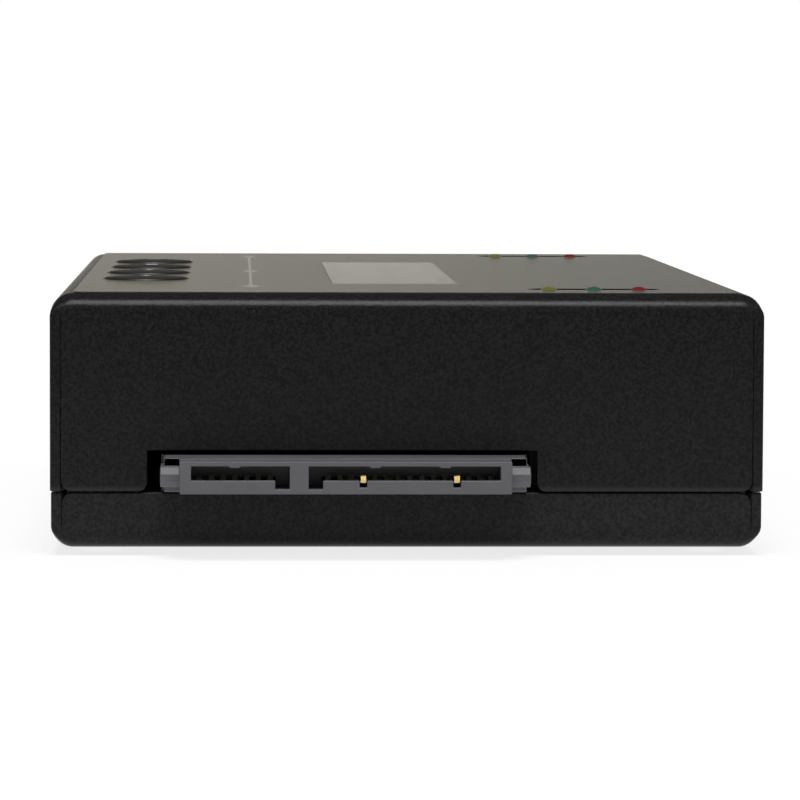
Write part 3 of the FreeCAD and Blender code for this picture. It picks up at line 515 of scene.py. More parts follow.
FINISHES = [
    PowderCoat("case_steel", (0.0122, 0.012, 0.012), 0.23, relief=0.016, specular=0.08),
    Finish("foot_rubber", (0.02, 0.02, 0.02), 0.7, relief=0.01),
    PrintedFilm("overlay_film", (0.02, 0.0195, 0.016), 0.16, sheen_spread=0.05, relief=0.0015,
                relief_grain=0.8),
    CharacterDisplay("display_lens", (0.2, 0.195, 0.175), 0.12),
    Finish("bezel_steel", (0.02, 0.02, 0.02), 0.4),
    Finish("display_glass", (0.45, 0.48, 0.42), 0.08, coat=0.5),
    Finish("backlight_plastic", (0.75, 0.75, 0.72), 0.5),
    Finish("board_laminate", (0.006, 0.024, 0.012), 0.35, coat=0.4, coat_roughness=0.2),
    RolledMetal("plated_steel", (0.6, 0.6, 0.6), 0.3),
    RolledMetal("spacer_brass", (0.72, 0.55, 0.25), 0.3),
    Finish("port_plastic", (0.101, 0.102, 0.108), 0.42, relief=0.004, relief_grain=0.15, specular=0.3),
    ContactPlating("contact_gold", (0.98, 0.68, 0.27), 0.3, sheen_spread=0.04, relief=0.0002),
    Finish("lamp_yellow", (0.16, 0.16, 0.02), 0.35, specular=0.3, transmission=0.2),
    Finish("lamp_green", (0.03, 0.11, 0.08), 0.35, specular=0.3, transmission=0.2),
    Finish("lamp_red", (0.2, 0.008, 0.012), 0.35, specular=0.3, transmission=0.2),
    Finish("black_plastic", (0.015, 0.015, 0.015), 0.45, relief=0.004, relief_grain=0.15),
    CapPlastic("button_plastic", (0.013, 0.013, 0.013), 0.42, relief=0.003, relief_grain=0.2),
    Finish("chip_epoxy", (0.02, 0.02, 0.02), 0.5),
    RolledMetal("sink_aluminium", (0.5, 0.5, 0.5), 0.4),
    RolledMetal("can_metal", (0.7, 0.7, 0.72), 0.25),
    Finish("ferrite", (0.05, 0.05, 0.055), 0.6),
]


class Paintshop:
    """Makes each finish once and puts it on pieces."""

    def __init__(self, finishes: list[Finish]) -> None:
        """Keep the finishes by their slots, with one for each material slot of the part."""
        self.finishes = {finish.slot: finish for finish in finishes}
        self.materials: dict[str, bpy.types.Material] = {}

    def paint(self, piece: bpy.types.Object, slot: str) -> None:
        """Give a piece the finish of a slot.

        Args:
            piece: The object.
            slot: The material slot's name.
        """
        if slot not in self.materials:
            self.materials[slot] = self.finishes[slot].material()
        piece.data.materials.clear()
        piece.data.materials.append(self.materials[slot])

    def dress(self, name: str, surface: "Surface", node: str, slot: str, edge: float = 0.0,
              crease: float = CREASE, body: str = Body.HOUSING) -> None:
        """Make a surface a painted piece that stands for a solid.

        Args:
            name: The piece's name.
            surface: Its points and faces.
            node: The solid's name.
            slot: The material slot's name.
            edge: Its bevel's width, or 0 for none.
            crease: The least turn of a sharp edge, in degrees.
            body: The body that it rides on.
        """
        piece = fit_piece(name, surface, body, edge, crease)
        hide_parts(node)
        self.paint(piece, slot)


# ---------------------------------------------------------------- surfaces


@dataclass
class Surface:
    """Points and faces. A face has four places in the list of points, and a triangle repeats its last."""

    points: np.ndarray
    faces: np.ndarray

    def __add__(self, other: "Surface") -> "Surface":
        """Both surfaces as one."""
        shifted = other.faces + len(self.points)
        return Surface(np.vstack([self.points, other.points]), np.vstack([self.faces, shifted]))

    def moved(self, x: float, y: float, z: float) -> "Surface":
        """The surface at another place."""
        return Surface(self.points + np.array([x, y, z]), self.faces)

    def turned_over(self) -> "Surface":
        """The surface with its faces the other way round."""
        backwards = self.faces[:, [3, 2, 1, 0]]
        triangles = self.faces[:, 2] == self.faces[:, 3]
        backwards[triangles] = self.faces[triangles][:, [2, 1, 0, 0]]
        return Surface(self.points, backwards)

    def welded(self) -> "Surface":
        """The surface with points at one place made one."""
        first, faces = merged(self.points, self.faces)
        return Surface(self.points[first], faces)


def joined(surfaces: list[Surface]) -> Surface:
    """Several surfaces as one."""
    return reduce(Surface.__add__, surfaces)


def raised(flat: np.ndarray, height: float) -> np.ndarray:
    """Points of a plane at a height."""
    return np.column_stack([flat, np.full(len(flat), height)])


def add_object(name: str, data: bpy.types.ID) -> bpy.types.Object:
    """A new object in the scene."""
    made = bpy.data.objects.new(name, data)
    bpy.context.scene.collection.objects.link(made)
    return made


def merged(rows: np.ndarray, faces: np.ndarray) -> tuple[np.ndarray, np.ndarray]:
    """Make points one where their rows are the same, and faces that lose a side triangles.

    Args:
        rows: What is compared, in millimetres, with a row for each point.
        faces: Four places for each face, and a triangle may repeat any of them.

    Returns:
        The places of the points that are kept, and the faces that still have three points or more.
    """
    rounded = np.round(rows / WELD).astype(np.int64)
    _, first, inverse = np.unique(rounded, axis=0, return_index=True, return_inverse=True)
    faces = inverse.reshape(-1)[faces]
    same = faces == np.roll(faces, -1, axis=1)
    start = np.where(same.any(axis=1), same.argmax(axis=1) - 2, 0)
    rolled = np.take_along_axis(faces, (start[:, None] + np.arange(4)) % 4, axis=1)
    a, b, c, d = rolled.T
    return first, rolled[(a != b) & (b != c) & (a != c) & (a != d)]


def lattice(points: np.ndarray, closed: bool = False, kept: np.ndarray | None = None) -> Surface:
    """A surface through a grid of points; face (r, c) joins rows r and r + 1, columns c and c + 1.

    Args:
        points: Rows by columns by three.
        closed: Whether the last column joins the first.
        kept: Which cells have a face, or None for all.

    Returns:
        The surface, whose faces look along (next column) x (next row).
    """
    rows, columns, _ = points.shape
    cells = np.arange(rows - 1), np.arange(columns if closed else columns - 1)
    row, column = np.meshgrid(*cells, indexing="ij")
    following = (column + 1) % columns
    corners = [row * columns + column, row * columns + following,
               (row + 1) * columns + following, (row + 1) * columns + column]
    faces = np.stack(corners, axis=-1)
    faces = faces.reshape(-1, 4) if kept is None else faces[kept]
    return Surface(points.reshape(-1, 3), faces)


def turned(profile: np.ndarray, place: Place, segments: int) -> Surface:
    """A profile turned about an upright axis at (x, y): (r, z) goes to (x + r cos a, y + r sin a, z).

    Args:
        profile: Radius and height of each point, from the foot up the outside to the top.
        place: The axis.
        segments: Steps in a full turn.

    Returns:
        The closed surface.
    """
    angle = np.linspace(0, 2 * np.pi, segments, endpoint=False)
    radius, height = profile.T
    x, y = place[0] + np.outer(radius, np.cos(angle)), place[1] + np.outer(radius, np.sin(angle))
    return lattice(np.dstack([x, y, np.repeat(height[:, None], segments, axis=1)]), closed=True).welded()


def bend(centre: tuple[float, float], radius: float, start: float, end: float, steps: int) -> np.ndarray:
    """Points of an arc: centre + radius (cos a, sin a) for even steps of a, in degrees."""
    angle = np.radians(np.linspace(start, end, steps + 1))
    return np.stack([centre[0] + radius * np.cos(angle), centre[1] + radius * np.sin(angle)], axis=-1)


def rectangle(left: float, right: float, low: float, high: float) -> np.ndarray:
    """The four corners of a rectangle."""
    return np.array([[left, low], [right, low], [right, high], [left, high]])


def slot_outline(x: float, y: float, reach: float, radius: float, steps: int = 20) -> np.ndarray:
    """A slot along X with round ends at x - reach and x + reach, each of a number of steps."""
    right, left = bend((x + reach, y), radius, -90, 90, steps), bend((x - reach, y), radius, 90, 270, steps)
    return np.vstack([right, left])


def circle_outline(x: float, y: float, radius: float, segments: int = 48) -> np.ndarray:
    """A full circle."""
    return bend((x, y), radius, 0, 360, segments)[:-1]


def mirrored(x: float, y: float) -> list[Place]:
    """The four places that mirror one corner place."""
    return [(side * x, end * y) for side in (-1, 1) for end in (-1, 1)]


def within(places: np.ndarray, loop: np.ndarray) -> np.ndarray:
    """Find the places inside a loop: a line from them to the right crosses its sides an odd number of times.

    Args:
        places: Points in the loop's plane.
        loop: Its corners in order.

    Returns:
        True for each place that lies inside.
    """
    start, end = loop, np.roll(loop, -1, axis=0)
    x, y = places[:, :1], places[:, 1:]
    spans = (start[:, 1] > y) != (end[:, 1] > y)
    rise = np.where(start[:, 1] == end[:, 1], 1.0, end[:, 1] - start[:, 1])
    crossing = start[:, 0] + (y - start[:, 1]) * (end[:, 0] - start[:, 0]) / rise
    return (spans & (crossing > x)).sum(axis=1) % 2 == 1


def flat_plate(outline: np.ndarray, holes: list[np.ndarray], height: float) -> Surface:
    """A flat face that fills an outline and leaves its holes open.

    Args:
        outline: The outer corners.
        holes: The corners of each hole.
        height: Where it lies in Z.

    Returns:
        Its triangles, which face up.
    """
    loops = [outline, *holes]
    starts = np.cumsum([0] + [len(loop) for loop in loops])
    edges = []
    for start, loop in zip(starts, loops):
        places = np.arange(len(loop))
        edges += np.stack([start + places, start + (places + 1) % len(loop)], axis=-1).tolist()
    corners = [Vector(corner) for corner in np.vstack(loops).tolist()]
    points, _, triangles, *_ = delaunay_2d_cdt(corners, edges, [], INSIDE_OUTLINE, FLAT_TOUCH)
    flat = np.array([tuple(point) for point in points])
    faces = np.array(triangles)
    middles = flat[faces].mean(axis=1)
    filled = within(middles, outline)
    for hole in holes:
        filled &= ~within(middles, hole)
    faces = faces[filled]
    corner_a, corner_b, corner_c = (flat[faces[:, side]] for side in range(3))
    along, across = corner_b - corner_a, corner_c - corner_a
    clockwise = along[:, 0] * across[:, 1] - along[:, 1] * across[:, 0] < 0
    faces[clockwise] = faces[clockwise][:, ::-1]
    return Surface(raised(flat, height), np.column_stack([faces, faces[:, 2]]))


def walled(outer: Surface, inner_points: np.ndarray) -> Surface:
    """A solid sheet between an outer skin and an inner one: both skins, and a rim along every free edge.

    Points merge only where both skins agree, so that the faces of the two stay in step.

    Args:
        outer: The outer skin.
        inner_points: The inner skin's place for each point of the outer one.

    Returns:
        The closed solid's surface.
    """
    first, faces = merged(np.hstack([outer.points, inner_points]), outer.faces)
    outer = Surface(outer.points[first], faces)
    count = len(first)
    inner_faces = outer.turned_over().faces + count
    start = faces.reshape(-1)
    end = np.roll(faces, -1, axis=1).reshape(-1)
    real = start != end
    start, end = start[real], end[real]
    free = ~np.isin(start * count + end, end * count + start)
    start, end = start[free], end[free]
    rim = np.stack([end, start, start + count, end + count], axis=-1)
    points = np.vstack([outer.points, inner_points[first]])
    return Surface(points, np.vstack([faces, inner_faces, rim])).welded()


def soft_post(place: Place, half: float, base: float, top: float, ease: float, steps: int = 2) -> Surface:
    """A square post with rounded edges: nearest inner corner + ease x direction, for directions of a ball.

    Args:
        place: Its middle.
        half: Half its width.
        base: Its foot in Z.
        top: Its top in Z.
        ease: Radius of the edges.
        steps: Steps from a face to the middle of an edge.

    Returns:
        The closed surface.
    """
    x, y = place
    low, high = np.array([x - half, y - half, base]), np.array([x + half, y + half, top])
    middle = (low + high) / 2
    reach = (high - low) / 2 - ease
    tangents = np.tan(np.linspace(0, np.pi / 4, steps + 1))
    line = np.concatenate([-tangents[::-1], tangents])
    side_of = np.repeat([-1.0, 1.0], steps + 1)
    first, second = np.meshgrid(line, line, indexing="ij")
    first_side, second_side = np.meshgrid(side_of, side_of, indexing="ij")
    faces = []
    for axis in range(3):
        across = [axis, (axis + 1) % 3, (axis + 2) % 3]
        for side in (-1.0, 1.0):
            direction = np.empty((*first.shape, 3))
            direction[..., across] = np.stack([np.full_like(first, side), first, second], axis=-1)
            corner = np.empty_like(direction)
            corner[..., across] = np.stack([np.full_like(first, side), first_side, second_side], axis=-1)
            direction /= np.linalg.norm(direction, axis=-1, keepdims=True)
            face = lattice(middle + corner * reach + ease * direction)
            faces.append(face if side < 0 else face.turned_over())
    return joined(faces).welded()


def fit_piece(name: str, surface: Surface, body: str, edge: float = 0.0,
              crease: float = CREASE) -> bpy.types.Object:
    """Make a surface a mesh object that rides on a body.

    Args:
        name: The object's name.
        surface: Its points and faces, in millimetres.
        body: The body that it rides on.
        edge: Width of the bevel on its sharp edges, or 0 for none.
        crease: The least turn of a sharp edge, in degrees.

    Returns:
        The object, at the origin.
    """
    mesh = bpy.data.meshes.new(name)
    triangles = surface.faces[:, 2] == surface.faces[:, 3]
    totals = np.where(triangles, 3, 4)
    used = np.ones(surface.faces.shape, dtype=bool)
    used[triangles, 3] = False
    corners = surface.faces[used]
    mesh.vertices.add(len(surface.points))
    mesh.vertices.foreach_set("co", (surface.points * MM).astype(np.float32).reshape(-1))
    mesh.loops.add(len(corners))
    mesh.loops.foreach_set("vertex_index", corners.astype(np.int32))
    mesh.polygons.add(len(totals))
    mesh.polygons.foreach_set("loop_start", np.concatenate([[0], np.cumsum(totals)[:-1]]).astype(np.int32))
    mesh.update(calc_edges=True)
    mesh.validate()
    piece = add_object(name, mesh)
    smooth_piece(piece, edge, crease)
    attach(piece, body)
    log.info("%s: %d points, %d faces, on %s", name, len(surface.points), len(totals), body)
    return piece


def smooth_piece(piece: bpy.types.Object, edge: float, crease: float) -> None:
    """Shade a piece smooth, and bevel its sharp edges or keep them sharp.

    Args:
        piece: The object.
        edge: Width of the bevel, or 0 for none.
        crease: The least turn of a sharp edge, in degrees.
    """
    mesh = piece.data
    mesh.polygons.foreach_set("use_smooth", np.ones(len(mesh.polygons), dtype=bool))
    if edge > 0:
        eased = piece.modifiers.new("eased_edges", "BEVEL")
        eased.width = edge * MM
        eased.segments = EDGE_FACES
        eased.limit_method = "ANGLE"
        eased.angle_limit = math.radians(crease)
        eased.use_clamp_overlap = False
        eased.harden_normals = True
    else:
        mesh.set_sharp_from_angle(angle=math.radians(crease))
    mesh.update()


def copy_of_node(name: str, node: str, body: str, edge: float) -> bpy.types.Object:
    """A copy of a solid's mesh, merged, with the triangles of each plane joined and its sharp edges eased.

    Args:
        name: The new object's name.
        node: The solid's name.
        body: The body that it rides on.
        edge: Width of the bevel.

    Returns:
        The object, which stands for the solid.
    """
    source = frame["nodes"][node]
    mesh = source.data.copy()
    mesh.transform(source.matrix_world)
    points = np.empty(len(mesh.vertices) * 3, dtype=np.float32)
    mesh.vertices.foreach_get("co", points)
    corners = np.empty(len(mesh.loops), dtype=np.int32)
    mesh.loops.foreach_get("vertex_index", corners)
    bpy.data.meshes.remove(mesh)
    triangles = corners.reshape(-1, 3)
    faces = np.column_stack([triangles, triangles[:, 2]])
    piece = fit_piece(name, Surface(points.reshape(-1, 3).astype(float) / MM, faces).welded(), body)
    work = bmesh.new()
    work.from_mesh(piece.data)
    bmesh.ops.dissolve_limit(work, angle_limit=math.radians(FLAT_TURN), verts=work.verts, edges=work.edges)
    work.to_mesh(piece.data)
    work.free()
    smooth_piece(piece, edge, CREASE)
    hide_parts(node)
    return piece


# ---------------------------------------------------------------- the case


@dataclass
class Opening:
    """A cut in a flange: its ends, its kind, and the columns it needs with the lift of their feet."""

    low: float
    high: float
    cell: Cell
    stops: list[tuple[float, float]]


@dataclass
class Columns:
    """Columns of a shell in order, each with the kind of the cell that follows it."""

    core: np.ndarray
    direction: np.ndarray
    reach: np.ndarray
    lift: np.ndarray
    cells: np.ndarray

    def __add__(self, other: "Columns") -> "Columns":
        """These columns followed by others."""
        pairs = zip(vars(self).values(), vars(other).values())
        return Columns(*(np.concatenate(pair) for pair in pairs))


@dataclass
class FoldedShell:
    """A folded sheet: a flat, a rounded bend along its four edges and a flange below each.

    A point of the bend is Q + d (reach cos t), at height core + r sin t, where Q is its place on the flat's
    outline, d its direction outwards and t its angle from the flange. Round the flat's corners the reach
    grows from the bend's radius at the top to a squared corner at the flanges.
    """

    half_width: float
    half_length: float
    flat: float
    rim: float
    sheet: float = 1.1
    bend_radius: float = 2.4
    bend_steps: int = 8
    squaring: int = 4
    corner_gap: float = 0.05
    corner_round: float = 0.45
    corner_steps: int = 4
    flange_corner: float = 1.0
    # Angles of the points round a flange's corner; the first step leaves room for the bevel.
    round_steps: tuple[float, ...] = (0.0, 48.0, 70.0, 90.0)
    notch_middle: float = 0.0
    notch_width: float = 0.0
    notch_height: float = 0.0
    side_patch: tuple[float, float] | None = None
    side_holes: list[np.ndarray] = field(default_factory=list)
    flat_holes: list[np.ndarray] = field(default_factory=list)

    @property
    def core(self) -> tuple[float, float]:
        """Half the width and length of the flat."""
        return self.half_width - self.bend_radius, self.half_length - self.bend_radius

    def notch(self, middle: float) -> Opening | None:
        """A port's notch, with columns at its two sides and round the flange's corners beside it.

        Args:
            middle: Its middle along the side.

        Returns:
            The opening, or None for a shell without notches.
        """
        if not self.notch_width:
            return None
        quarter = np.radians(self.round_steps)
        half = self.notch_width / 2
        away = half + self.flange_corner * (1 - np.cos(quarter))
        lift = self.flange_corner * (1 - np.sin(quarter))
        pairs = list(zip(away.tolist(), lift.tolist()))
        stops = [(middle + side * distance, rise) for side in (-1, 1) for distance, rise in pairs]
        return Opening(middle - half, middle + half, Cell.NOTCH, stops)

    def side(self, axis: int, outwards: int, opening: Opening | None = None) -> Columns:
        """Columns along one side of the flat.

        Args:
            axis: The axis that the side runs along: 0 for X, 1 for Y.
            outwards: The sign of its outward direction.
            opening: Where its flange is cut, if it is.

        Returns:
            The columns, counter-clockwise.
        """
        start = self.core[axis] * (-outwards if axis else outwards)
        places = np.array([(start, 0.0), *(opening.stops if opening else []), (-start, 0.0)])
        places, lift = places[np.argsort(places[:, 0] * -np.sign(start))].T
        core = np.empty((len(places), 2))
        core[:, axis] = places
        core[:, 1 - axis] = outwards * self.core[1 - axis]
        direction = np.zeros_like(core)
        direction[:, 1 - axis] = outwards
        cells = np.full(len(places), Cell.SHEET)
        if opening:
            middles = (places[1:] + places[:-1]) / 2
            cells[:-1][(middles > opening.low) & (middles < opening.high)] = opening.cell
        return Columns(core, direction, np.full(len(places), self.bend_radius), lift, cells)

    def corner(self, side_x: int, side_y: int) -> Columns:
        """Columns round one corner of the flat.

        Angles start at the front or rear direction. The reach goes to the squared outline: to a side, or
        where the direction n meets the round, c.n + sqrt((c.n)^2 - |c|^2 + round^2), with c its middle.

        Args:
            side_x: The sign of its place in X.
            side_y: The sign of its place in Y.

        Returns:
            The columns, counter-clockwise.
        """
        seam_outer = self.bend_radius - self.sheet
        quarter = np.radians(self.round_steps[-2::-1])
        offsets = np.append((seam_outer - self.corner_gap) * np.cos(quarter), seam_outer)
        centre = self.bend_radius - self.corner_round
        first = math.atan2(centre, self.bend_radius)
        last = math.pi / 2 - first
        middle = np.linspace(first, last, self.corner_steps + 1)
        rest = np.linspace(last, math.pi / 2, self.corner_steps)[1:-1]
        angles = np.concatenate([np.arctan2(offsets, self.bend_radius), middle, rest])
        lift = np.zeros(len(angles))
        lift[:len(quarter)] = self.flange_corner * (1 - np.sin(quarter))
        seam = len(quarter) - 1
        if side_x == side_y:
            angles, lift, seam = angles[::-1], lift[::-1], len(angles) - 2 - seam

        along = centre * (np.sin(angles) + np.cos(angles))
        under = along ** 2 - 2 * centre ** 2 + self.corner_round ** 2
        in_round = (angles > first - ANGLE_TOUCH) & (angles < last + ANGLE_TOUCH)
        reach = np.where(in_round, along + np.sqrt(np.maximum(under, 0)),
                         self.bend_radius / np.maximum(np.cos(angles), np.sin(angles)))
        core = np.tile([side_x * self.core[0], side_y * self.core[1]], (len(angles), 1))
        direction = np.stack([side_x * np.sin(angles), side_y * np.cos(angles)], axis=-1)
        cells = np.full(len(angles), Cell.SHEET)
        cells[seam] = Cell.SEAM
        return Columns(core, direction, reach, lift, cells)

    def columns(self) -> Columns:
        """All columns, counter-clockwise from the front's left end.

        Returns:
            The columns of the four sides and the four corners.
        """
        patch = None
        if self.side_patch:
            patch = Opening(*self.side_patch, Cell.PATCH, [(end, 0.0) for end in self.side_patch])
        return reduce(Columns.__add__, [
            self.side(0, -1, self.notch(self.notch_middle)), self.corner(1, -1),
            self.side(1, 1, patch), self.corner(1, 1),
            self.side(0, 1, self.notch(-self.notch_middle)), self.corner(-1, 1),
            self.side(1, -1), self.corner(-1, -1),
        ])

    def build(self) -> Surface:
        """Work out the shell.

        Returns:
            The closed sheet: outer skin, inner skin and rims.
        """
        columns = self.columns()
        up = math.copysign(1.0, self.flat - self.rim)
        core_z = self.flat - up * self.bend_radius
        split = self.rim + up * (self.notch_height or self.flange_corner)
        tilt = np.radians(np.linspace(90, 0, self.bend_steps + 1))[:, None]
        squareness = np.cos(tilt) ** self.squaring
        reach = self.bend_radius + (columns.reach - self.bend_radius) * squareness
        out = np.cos(tilt) * reach
        bend_xy = columns.core + columns.direction * out[..., None]
        bend_z = np.broadcast_to(core_z + up * self.bend_radius * np.sin(tilt), out.shape)
        foot_xy = np.broadcast_to(bend_xy[-1], (2, *bend_xy[-1].shape))
        foot_z = np.stack([np.full(out.shape[1], split), self.rim + up * columns.lift])
        outer = np.concatenate([np.dstack([bend_xy, bend_z]), np.dstack([foot_xy, foot_z])])

        share = (self.bend_radius - self.sheet) / self.bend_radius
        inner_xy = columns.core + (outer[..., :2] - columns.core) * share
        inner_z = outer[..., 2].copy()
        inner_z[:self.bend_steps + 1] = core_z + (inner_z[:self.bend_steps + 1] - core_z) * share
        inner_skin = np.dstack([inner_xy, inner_z]).reshape(-1, 3)

        kept = np.ones((len(outer) - 1, out.shape[1]), dtype=bool)
        kept[self.bend_steps:, np.isin(columns.cells, (Cell.SEAM, Cell.PATCH))] = False
        kept[-1, columns.cells == Cell.NOTCH] = False
        skin = lattice(outer, closed=True, kept=kept).turned_over()

        different = np.linalg.norm(columns.core - np.roll(columns.core, 1, axis=0), axis=1) > WELD
        top = flat_plate(columns.core[different], self.flat_holes, self.flat)
        skin = skin + top
        inner_skin = np.vstack([inner_skin, top.points - [0, 0, up * self.sheet]])
        if self.side_patch:
            patch = self.patch_skin(split, core_z)
            skin = skin + patch
            inner_skin = np.vstack([inner_skin, patch.points - [self.sheet, 0, 0]])
        return walled(skin if up > 0 else skin.turned_over(), inner_skin)

    def patch_skin(self, split: float, core_z: float) -> Surface:
        """The outer skin of the right-hand flange between the patch's two columns, open at its holes.

        Args:
            split: Height of the columns' row between the bend and the foot.
            core_z: Height where the bend starts.

        Returns:
            The triangles, which face right.
        """
        low, high = self.side_patch
        outline = np.array([[low, self.rim], [high, self.rim], [high, split], [high, core_z], [low, core_z],
                            [low, split]])
        plate = flat_plate(outline, self.side_holes, self.half_width)
        return Surface(plate.points[:, [2, 0, 1]], plate.faces)


@dataclass
class Case:
    """The folded cover and tray, the film, the feet and the screws that close them."""

    shop: Paintshop
    sheet_edge: float = 0.14
    window: tuple[float, float, float, float] = (-7.85, 6.65, -37.3, 27.3)
    film_reach: tuple[float, float] = (36.75, 58.55)
    film_corner: float = 0.7
    film_steps: int = 5
    film_base: float = 28.8
    film_top: float = 28.95
    film_edge: float = 0.03
    button_hole: float = 5.1
    lamp_reach: float = 5.6
    lamp_slot: float = 1.8
    jack: tuple[float, float, float] = (38.0, 13.5, 4.2)
    switch: tuple[float, float, float, float] = (16.9, 23.1, 8.7, 11.9)
    screws_at: tuple[float, float] = (33.5, 53.5)
    screw_hole: float = 2.35
    feet_at: tuple[float, float] = (25.2, 47.0)
    foot_radius: float = 4.0
    foot_height: float = 0.8
    foot_ease: float = 0.25
    foot_steps: int = 4
    foot_segments: int = 64

    def build(self) -> None:
        """Make the shells, the film, the feet and the screws."""
        self.cover()
        self.film()
        self.tray()
        self.feet()
        self.screws()

    def top_openings(self) -> list[np.ndarray]:
        """The window, the cap holes and the lamp slots, which the cover and its film share."""
        caps = [circle_outline(BUTTON_X, y, self.button_hole) for y in BUTTON_PLACES]
        lamps = [slot_outline(LAMP_X, end * LAMP_Y, self.lamp_reach, self.lamp_slot) for end in (-1, 1)]
        return [rectangle(*self.window), *caps, *lamps]

    def film(self) -> None:
        """Overlay film: a thin sheet with round corners and the cover's openings."""
        x, y = (reach - self.film_corner for reach in self.film_reach)
        turns = (((x, -y), -90), ((x, y), 0), ((-x, y), 90), ((-x, -y), 180))
        arcs = [bend(place, self.film_corner, start, start + 90, self.film_steps) for place, start in turns]
        skin = flat_plate(np.vstack(arcs), self.top_openings(), self.film_top)
        sheet = walled(skin, skin.points - [0, 0, self.film_top - self.film_base])
        self.shop.dress("film", sheet, "graphic_overlay", "overlay_film", self.film_edge, SHEET_CREASE)

    def cover(self) -> None:
        """Cover, open for the display, the caps, the lamps, the ports, the inlet and the switch."""
        shell = FoldedShell(
            half_width=39.2, half_length=61.0, flat=28.8, rim=7.14,
            notch_middle=-7.15, notch_width=42.7, notch_height=4.5,
            side_patch=(14.0, 44.0), side_holes=[circle_outline(*self.jack), rectangle(*self.switch)],
            flat_holes=self.top_openings(),
        )
        self.shop.dress("cover", shell.build(), "top_cover", "case_steel", self.sheet_edge, SHEET_CREASE)

    def tray(self) -> None:
        """Tray, open for the case screws."""
        holes = [circle_outline(x, y, self.screw_hole) for x, y in mirrored(*self.screws_at)]
        shell = FoldedShell(half_width=39.1, half_length=60.8, flat=0.8, rim=7.0, flat_holes=holes)
        self.shop.dress("tray", shell.build(), "bottom_tray", "case_steel", self.sheet_edge, SHEET_CREASE)

    def feet(self) -> None:
        """Round rubber feet with eased edges."""
        ease = self.foot_ease
        round_edge = bend((self.foot_radius - ease, ease), ease, -90, 0, self.foot_steps)
        top = [[self.foot_radius, self.foot_height], [0, self.foot_height]]
        profile = np.vstack([[0, 0], round_edge, top])
        feet = joined([turned(profile, place, self.foot_segments) for place in mirrored(*self.feet_at)])
        self.shop.dress("feet", feet, "rubber_feet", "foot_rubber")

    def screws(self) -> None:
        """Countersunk screws with a cross recess."""
        screw = CrossScrew().surface()
        screws = joined([screw.moved(x, y, self.foot_height) for x, y in mirrored(*self.screws_at)])
        self.shop.dress("screws", screws, "case_screws", "plated_steel")


@dataclass
class CrossScrew:
    """A countersunk screw that points up, with its head's face at zero."""

    head_radius: float = 2.25
    shank_radius: float = 1.25
    head_height: float = 1.1
    length: float = 11.2
    arm: float = 1.3
    arm_width: float = 0.5
    recess: float = 0.8
    recess_share: float = 0.55

    def cross(self, share: float) -> np.ndarray:
        """The corners of the recess, with a share of the arms' length: three in each quarter turn.

        Args:
            share: How long the arms are for the length at the head's face.

        Returns:
            The twelve corners, counter-clockwise from above.
        """
        long, short = self.arm * share, self.arm_width / 2
        quarter = np.array([[long, -short], [long, short], [short, short]])
        quarters = [quarter]
        for _ in range(3):
            quarter = np.column_stack([-quarter[:, 1], quarter[:, 0]])
            quarters.append(quarter)
        return np.vstack(quarters)

    def surface(self) -> Surface:
        """Head face with its recess, cone and shank.

        Returns:
            The closed surface.
        """
        rim = circle_outline(0, 0, self.head_radius)
        mouth, floor = self.cross(1.0), self.cross(self.recess_share)
        face_skin = flat_plate(rim, [mouth], 0.0).turned_over()
        floor_skin = flat_plate(floor, [], self.recess).turned_over()
        rows = np.stack([raised(mouth, 0.0), raised(floor, self.recess)])
        wall_skin = lattice(rows, closed=True).turned_over()
        profile = np.array([[self.head_radius, 0.0], [self.shank_radius, self.head_height],
                            [self.shank_radius, self.length], [0.0, self.length]])
        outside = turned(profile, (0, 0), len(rim))
        return joined([face_skin, floor_skin, wall_skin, outside]).welded()


# ---------------------------------------------------------------- controls


@dataclass
class Buttons:
    """Four round caps with a lip below the cover and a stem on the switch."""

    shop: Paintshop
    radius: float = 4.9
    top: float = 29.3
    segments: int = 72
    dome_radius: float = 60.0
    dome_steps: int = 7
    ease: float = 0.3
    ease_steps: int = 5
    lip: float = 5.8
    lip_base: float = 26.8
    lip_top: float = 27.6
    stem: float = 2.0
    stem_base: float = 25.0
    post_ease: float = 0.15
    overlap: float = 0.2

    def build(self) -> None:
        """Make each cap."""
        for number, y in enumerate(BUTTON_PLACES, start=1):
            self.shop.dress(f"cap_{number}", self.cap((BUTTON_X, y)), f"button_cap_{number}",
                            "button_plastic", body=f"button_{number}")

    def cap(self, place: Place) -> Surface:
        """A cap: a dome z = top - r^2 / (2 dome radius) with an eased edge, on its lip and stem.

        Args:
            place: Its middle.

        Returns:
            The closed surfaces.
        """
        radii = np.linspace(self.radius - self.ease, 0, self.dome_steps + 1)
        dome = np.column_stack([radii, self.top - radii ** 2 / (2 * self.dome_radius)])
        edge = bend((radii[0], dome[0, 1] - self.ease), self.ease, 0, 90, self.ease_steps)
        foot_z = self.lip_top - self.overlap
        profile = np.vstack([[0, foot_z], [self.radius, foot_z], edge, dome[1:]])
        crown = turned(profile, place, self.segments)
        lip = soft_post(place, self.lip, self.lip_base, self.lip_top, self.post_ease)
        stem = soft_post(place, self.stem, self.stem_base, self.lip_base + self.overlap, self.post_ease)
        return joined([crown, lip, stem])


